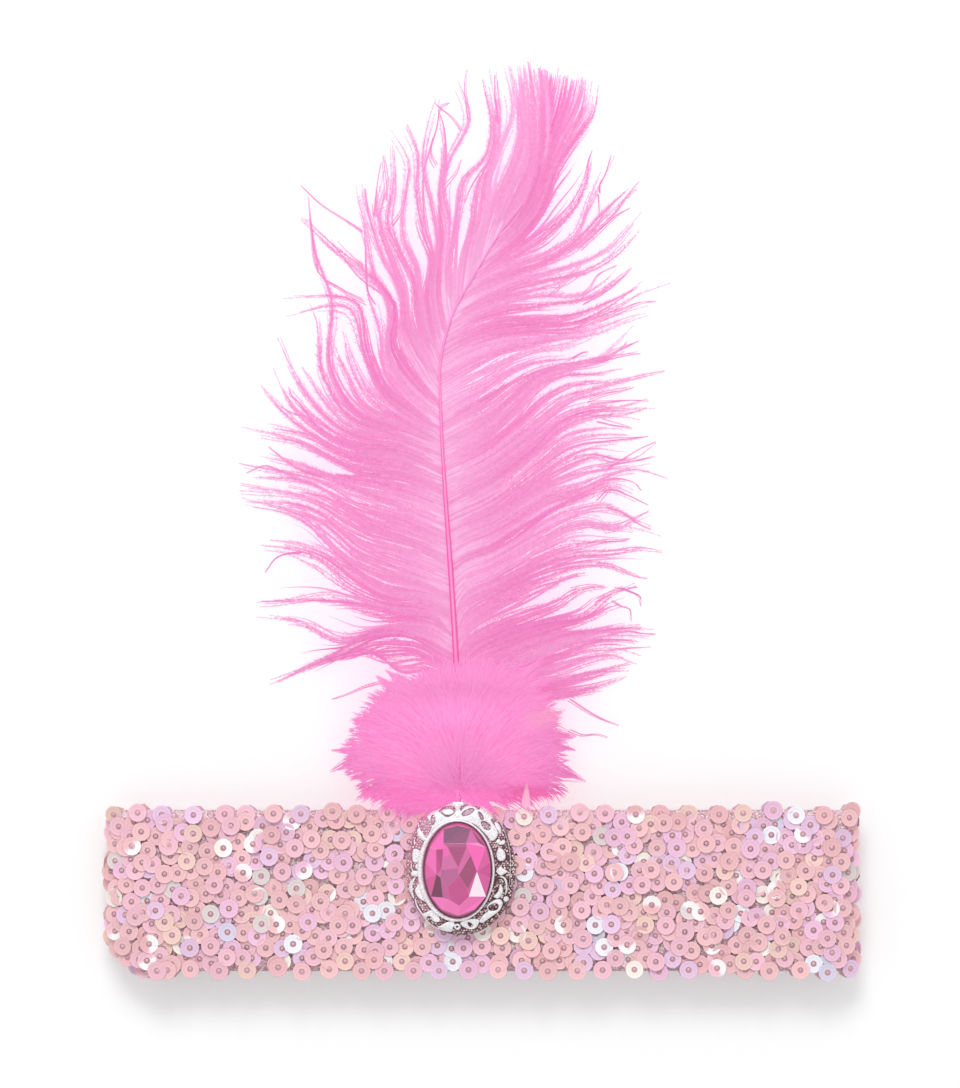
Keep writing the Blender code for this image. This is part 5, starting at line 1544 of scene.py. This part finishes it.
FACETS = (
    ("t1 t2 x i", (137, 92, 120)), ("x t3 j i", (148, 92, 122)), ("t3 l j", (206, 112, 166)),
    ("t3 t4 t5 l", (152, 80, 112)), ("j l t5", (246, 150, 206)), ("j t5 c b", (248, 108, 184)),
    ("t5 t6 c", (216, 100, 160)), ("t6 t7 c", (204, 90, 148)), ("c t7 t8", (216, 98, 160)),
    ("c t8 d", (252, 232, 243)), ("i j b a", (178, 98, 142)), ("a b m", (175, 88, 130)),
    ("b o n m", (212, 112, 168)), ("o c p n", (162, 84, 120)), ("b c o", (190, 88, 138)),
    ("c d p", (206, 100, 156)), ("i a s w h", (240, 112, 182)), ("w s m f", (212, 116, 168)),
    ("g h w f", (182, 82, 130)), ("g f u", (192, 88, 138)), ("i h g t15 t16 t1", (246, 114, 186)),
    ("t15 g u t14", (238, 116, 182)), ("t14 u t13", (224, 106, 168)), ("f m n q v", (186, 106, 150)),
    ("u f v", (206, 112, 164)), ("u v e t12", (122, 70, 94)), ("v q k e", (194, 104, 152)),
    ("n p d r k q", (200, 88, 144)), ("t13 u t12", (216, 96, 152)),
    ("t12 e k r t10 t11", (246, 128, 190)), ("r d t8 t9 t10", (242, 122, 186)),
)
# A seam runs round each facet: the facet's share inside it, how far that sinks, the seam's colour, a
# painted highlight along the facet's edge, and its share in the mix
FACET_INSET = 0.96
FACET_SINK = 0.02
FACET_SEAM = linear(238, 142, 196)
SEAM_SHARE = 0.4
# The slope darkens from its tone to the girdle's: painted shade round the stone's edge
SLOPE_TONE = linear(228, 106, 170)
GIRDLE_TONE = linear(150, 70, 104)


def stone_place(name):
    """Place of a corner of the stone: on the table, or on the slope down to the girdle."""
    spot = traced(STONE_CORNERS[name])[0]
    reach = (((spot - STONE_CENTRE) / STONE_HALF) ** 2).sum()
    slope = max(reach - TABLE_REACH, 0) / (1 - TABLE_REACH)
    return np.append(spot, SETTING_BASE + STONE_TABLE + (STONE_GIRDLE - STONE_TABLE) * SLOPE_FALL * slope)


def faceted_stone(material):
    """Flat facets over a glassy rim; each facet has its own corners, so that its edges stay crisp."""
    stone = Patches()
    for names, colour in FACETS:
        points = np.array([stone_place(name) for name in names.split()])
        middle, count, tone = points.mean(0), len(points), linear(*colour)
        if np.cross(points[1, :2] - points[0, :2], points[2, :2] - points[1, :2]) < 0:
            points = points[::-1]
        inset = middle + (points - middle) * FACET_INSET - UP * FACET_SINK
        # Facet tones are painted reflections, their lighter seams painted highlights
        tints = np.repeat([blend(tone, FACET_SEAM, SEAM_SHARE), tone], count, 0)
        stone.add(np.vstack([points, inset]), ring_faces(2, count), tints)
        stone.add(inset, fan_faces(count), tone)
    rim = np.array([stone_place(name) for name in STONE_CORNERS if name.startswith("t")])
    x, y = ((rim[:, :2] - STONE_CENTRE) / STONE_HALF).T
    turns = full_turn(STONE_STEPS)
    rings = [np.stack(lookup(np.column_stack([np.arctan2(y, x), rim]), turns, 2 * np.pi), -1)]
    oval = STONE_CENTRE + spokes(turns) * STONE_HALF
    for height in (STONE_GIRDLE, STONE_BASE):
        rings.append(np.column_stack([oval, np.full(STONE_STEPS, SETTING_BASE + height)]))
    # Painted shade: the slope darkens towards the girdle
    tints = np.repeat([SLOPE_TONE, GIRDLE_TONE, GIRDLE_TONE], STONE_STEPS, 0)
    stone.add(np.concatenate(rings), ring_faces(len(rings), STONE_STEPS)[:, ::-1], tints)
    stone.piece("faceted_stone", material, "pink_crystal", "oval_stone", sharp=1)


def main():
    add_camera()
    add_floor()
    add_light()
    sequins = painted("cup_sequin", **SEQUIN_LOOK)
    silver = painted("silver_tone", **SILVER_LOOK)
    places, on_edge = sequin_places()
    front_seats = sequin_seats(places, on_edge, *FRONT_LAYER)
    sequin_layer("sequins_on_front", front_seats, FRONT_STEPS, sequins, "sequins_front")
    thread_knots(front_seats, sequins)
    back_seats = sequin_seats(places, on_edge, *BACK_LAYER)
    sequin_layer("sequins_underneath", back_seats, BACK_STEPS, sequins, "sequins_back")
    knit_loop(knit_material())
    plume_shaft(painted("quill_pink", low=0.95, high=1.04, glow=BARB_GLOW, **BARB_LOOK))
    feather = painted("ostrich_pink", low=0.9, high=1.08, glow=BARB_GLOW, **BARB_LOOK)
    vane("vane_left", LEFT_LOCKS, LEFT_BROAD, LEFT_GATHER, LEFT_DEPTH, feather)
    vane("vane_right", RIGHT_LOCKS, RIGHT_BROAD, RIGHT_GATHER, RIGHT_DEPTH, feather)
    stray_wisps(feather)
    down_tuft(painted("down_pink", low=0.94, high=1.05, glow=DOWN_GLOW, **BARB_LOOK))
    setting_frame(silver)
    setting_finial(silver)
    setting_grains(silver)
    faceted_stone(painted("pink_stone", **STONE_LOOK))


main()
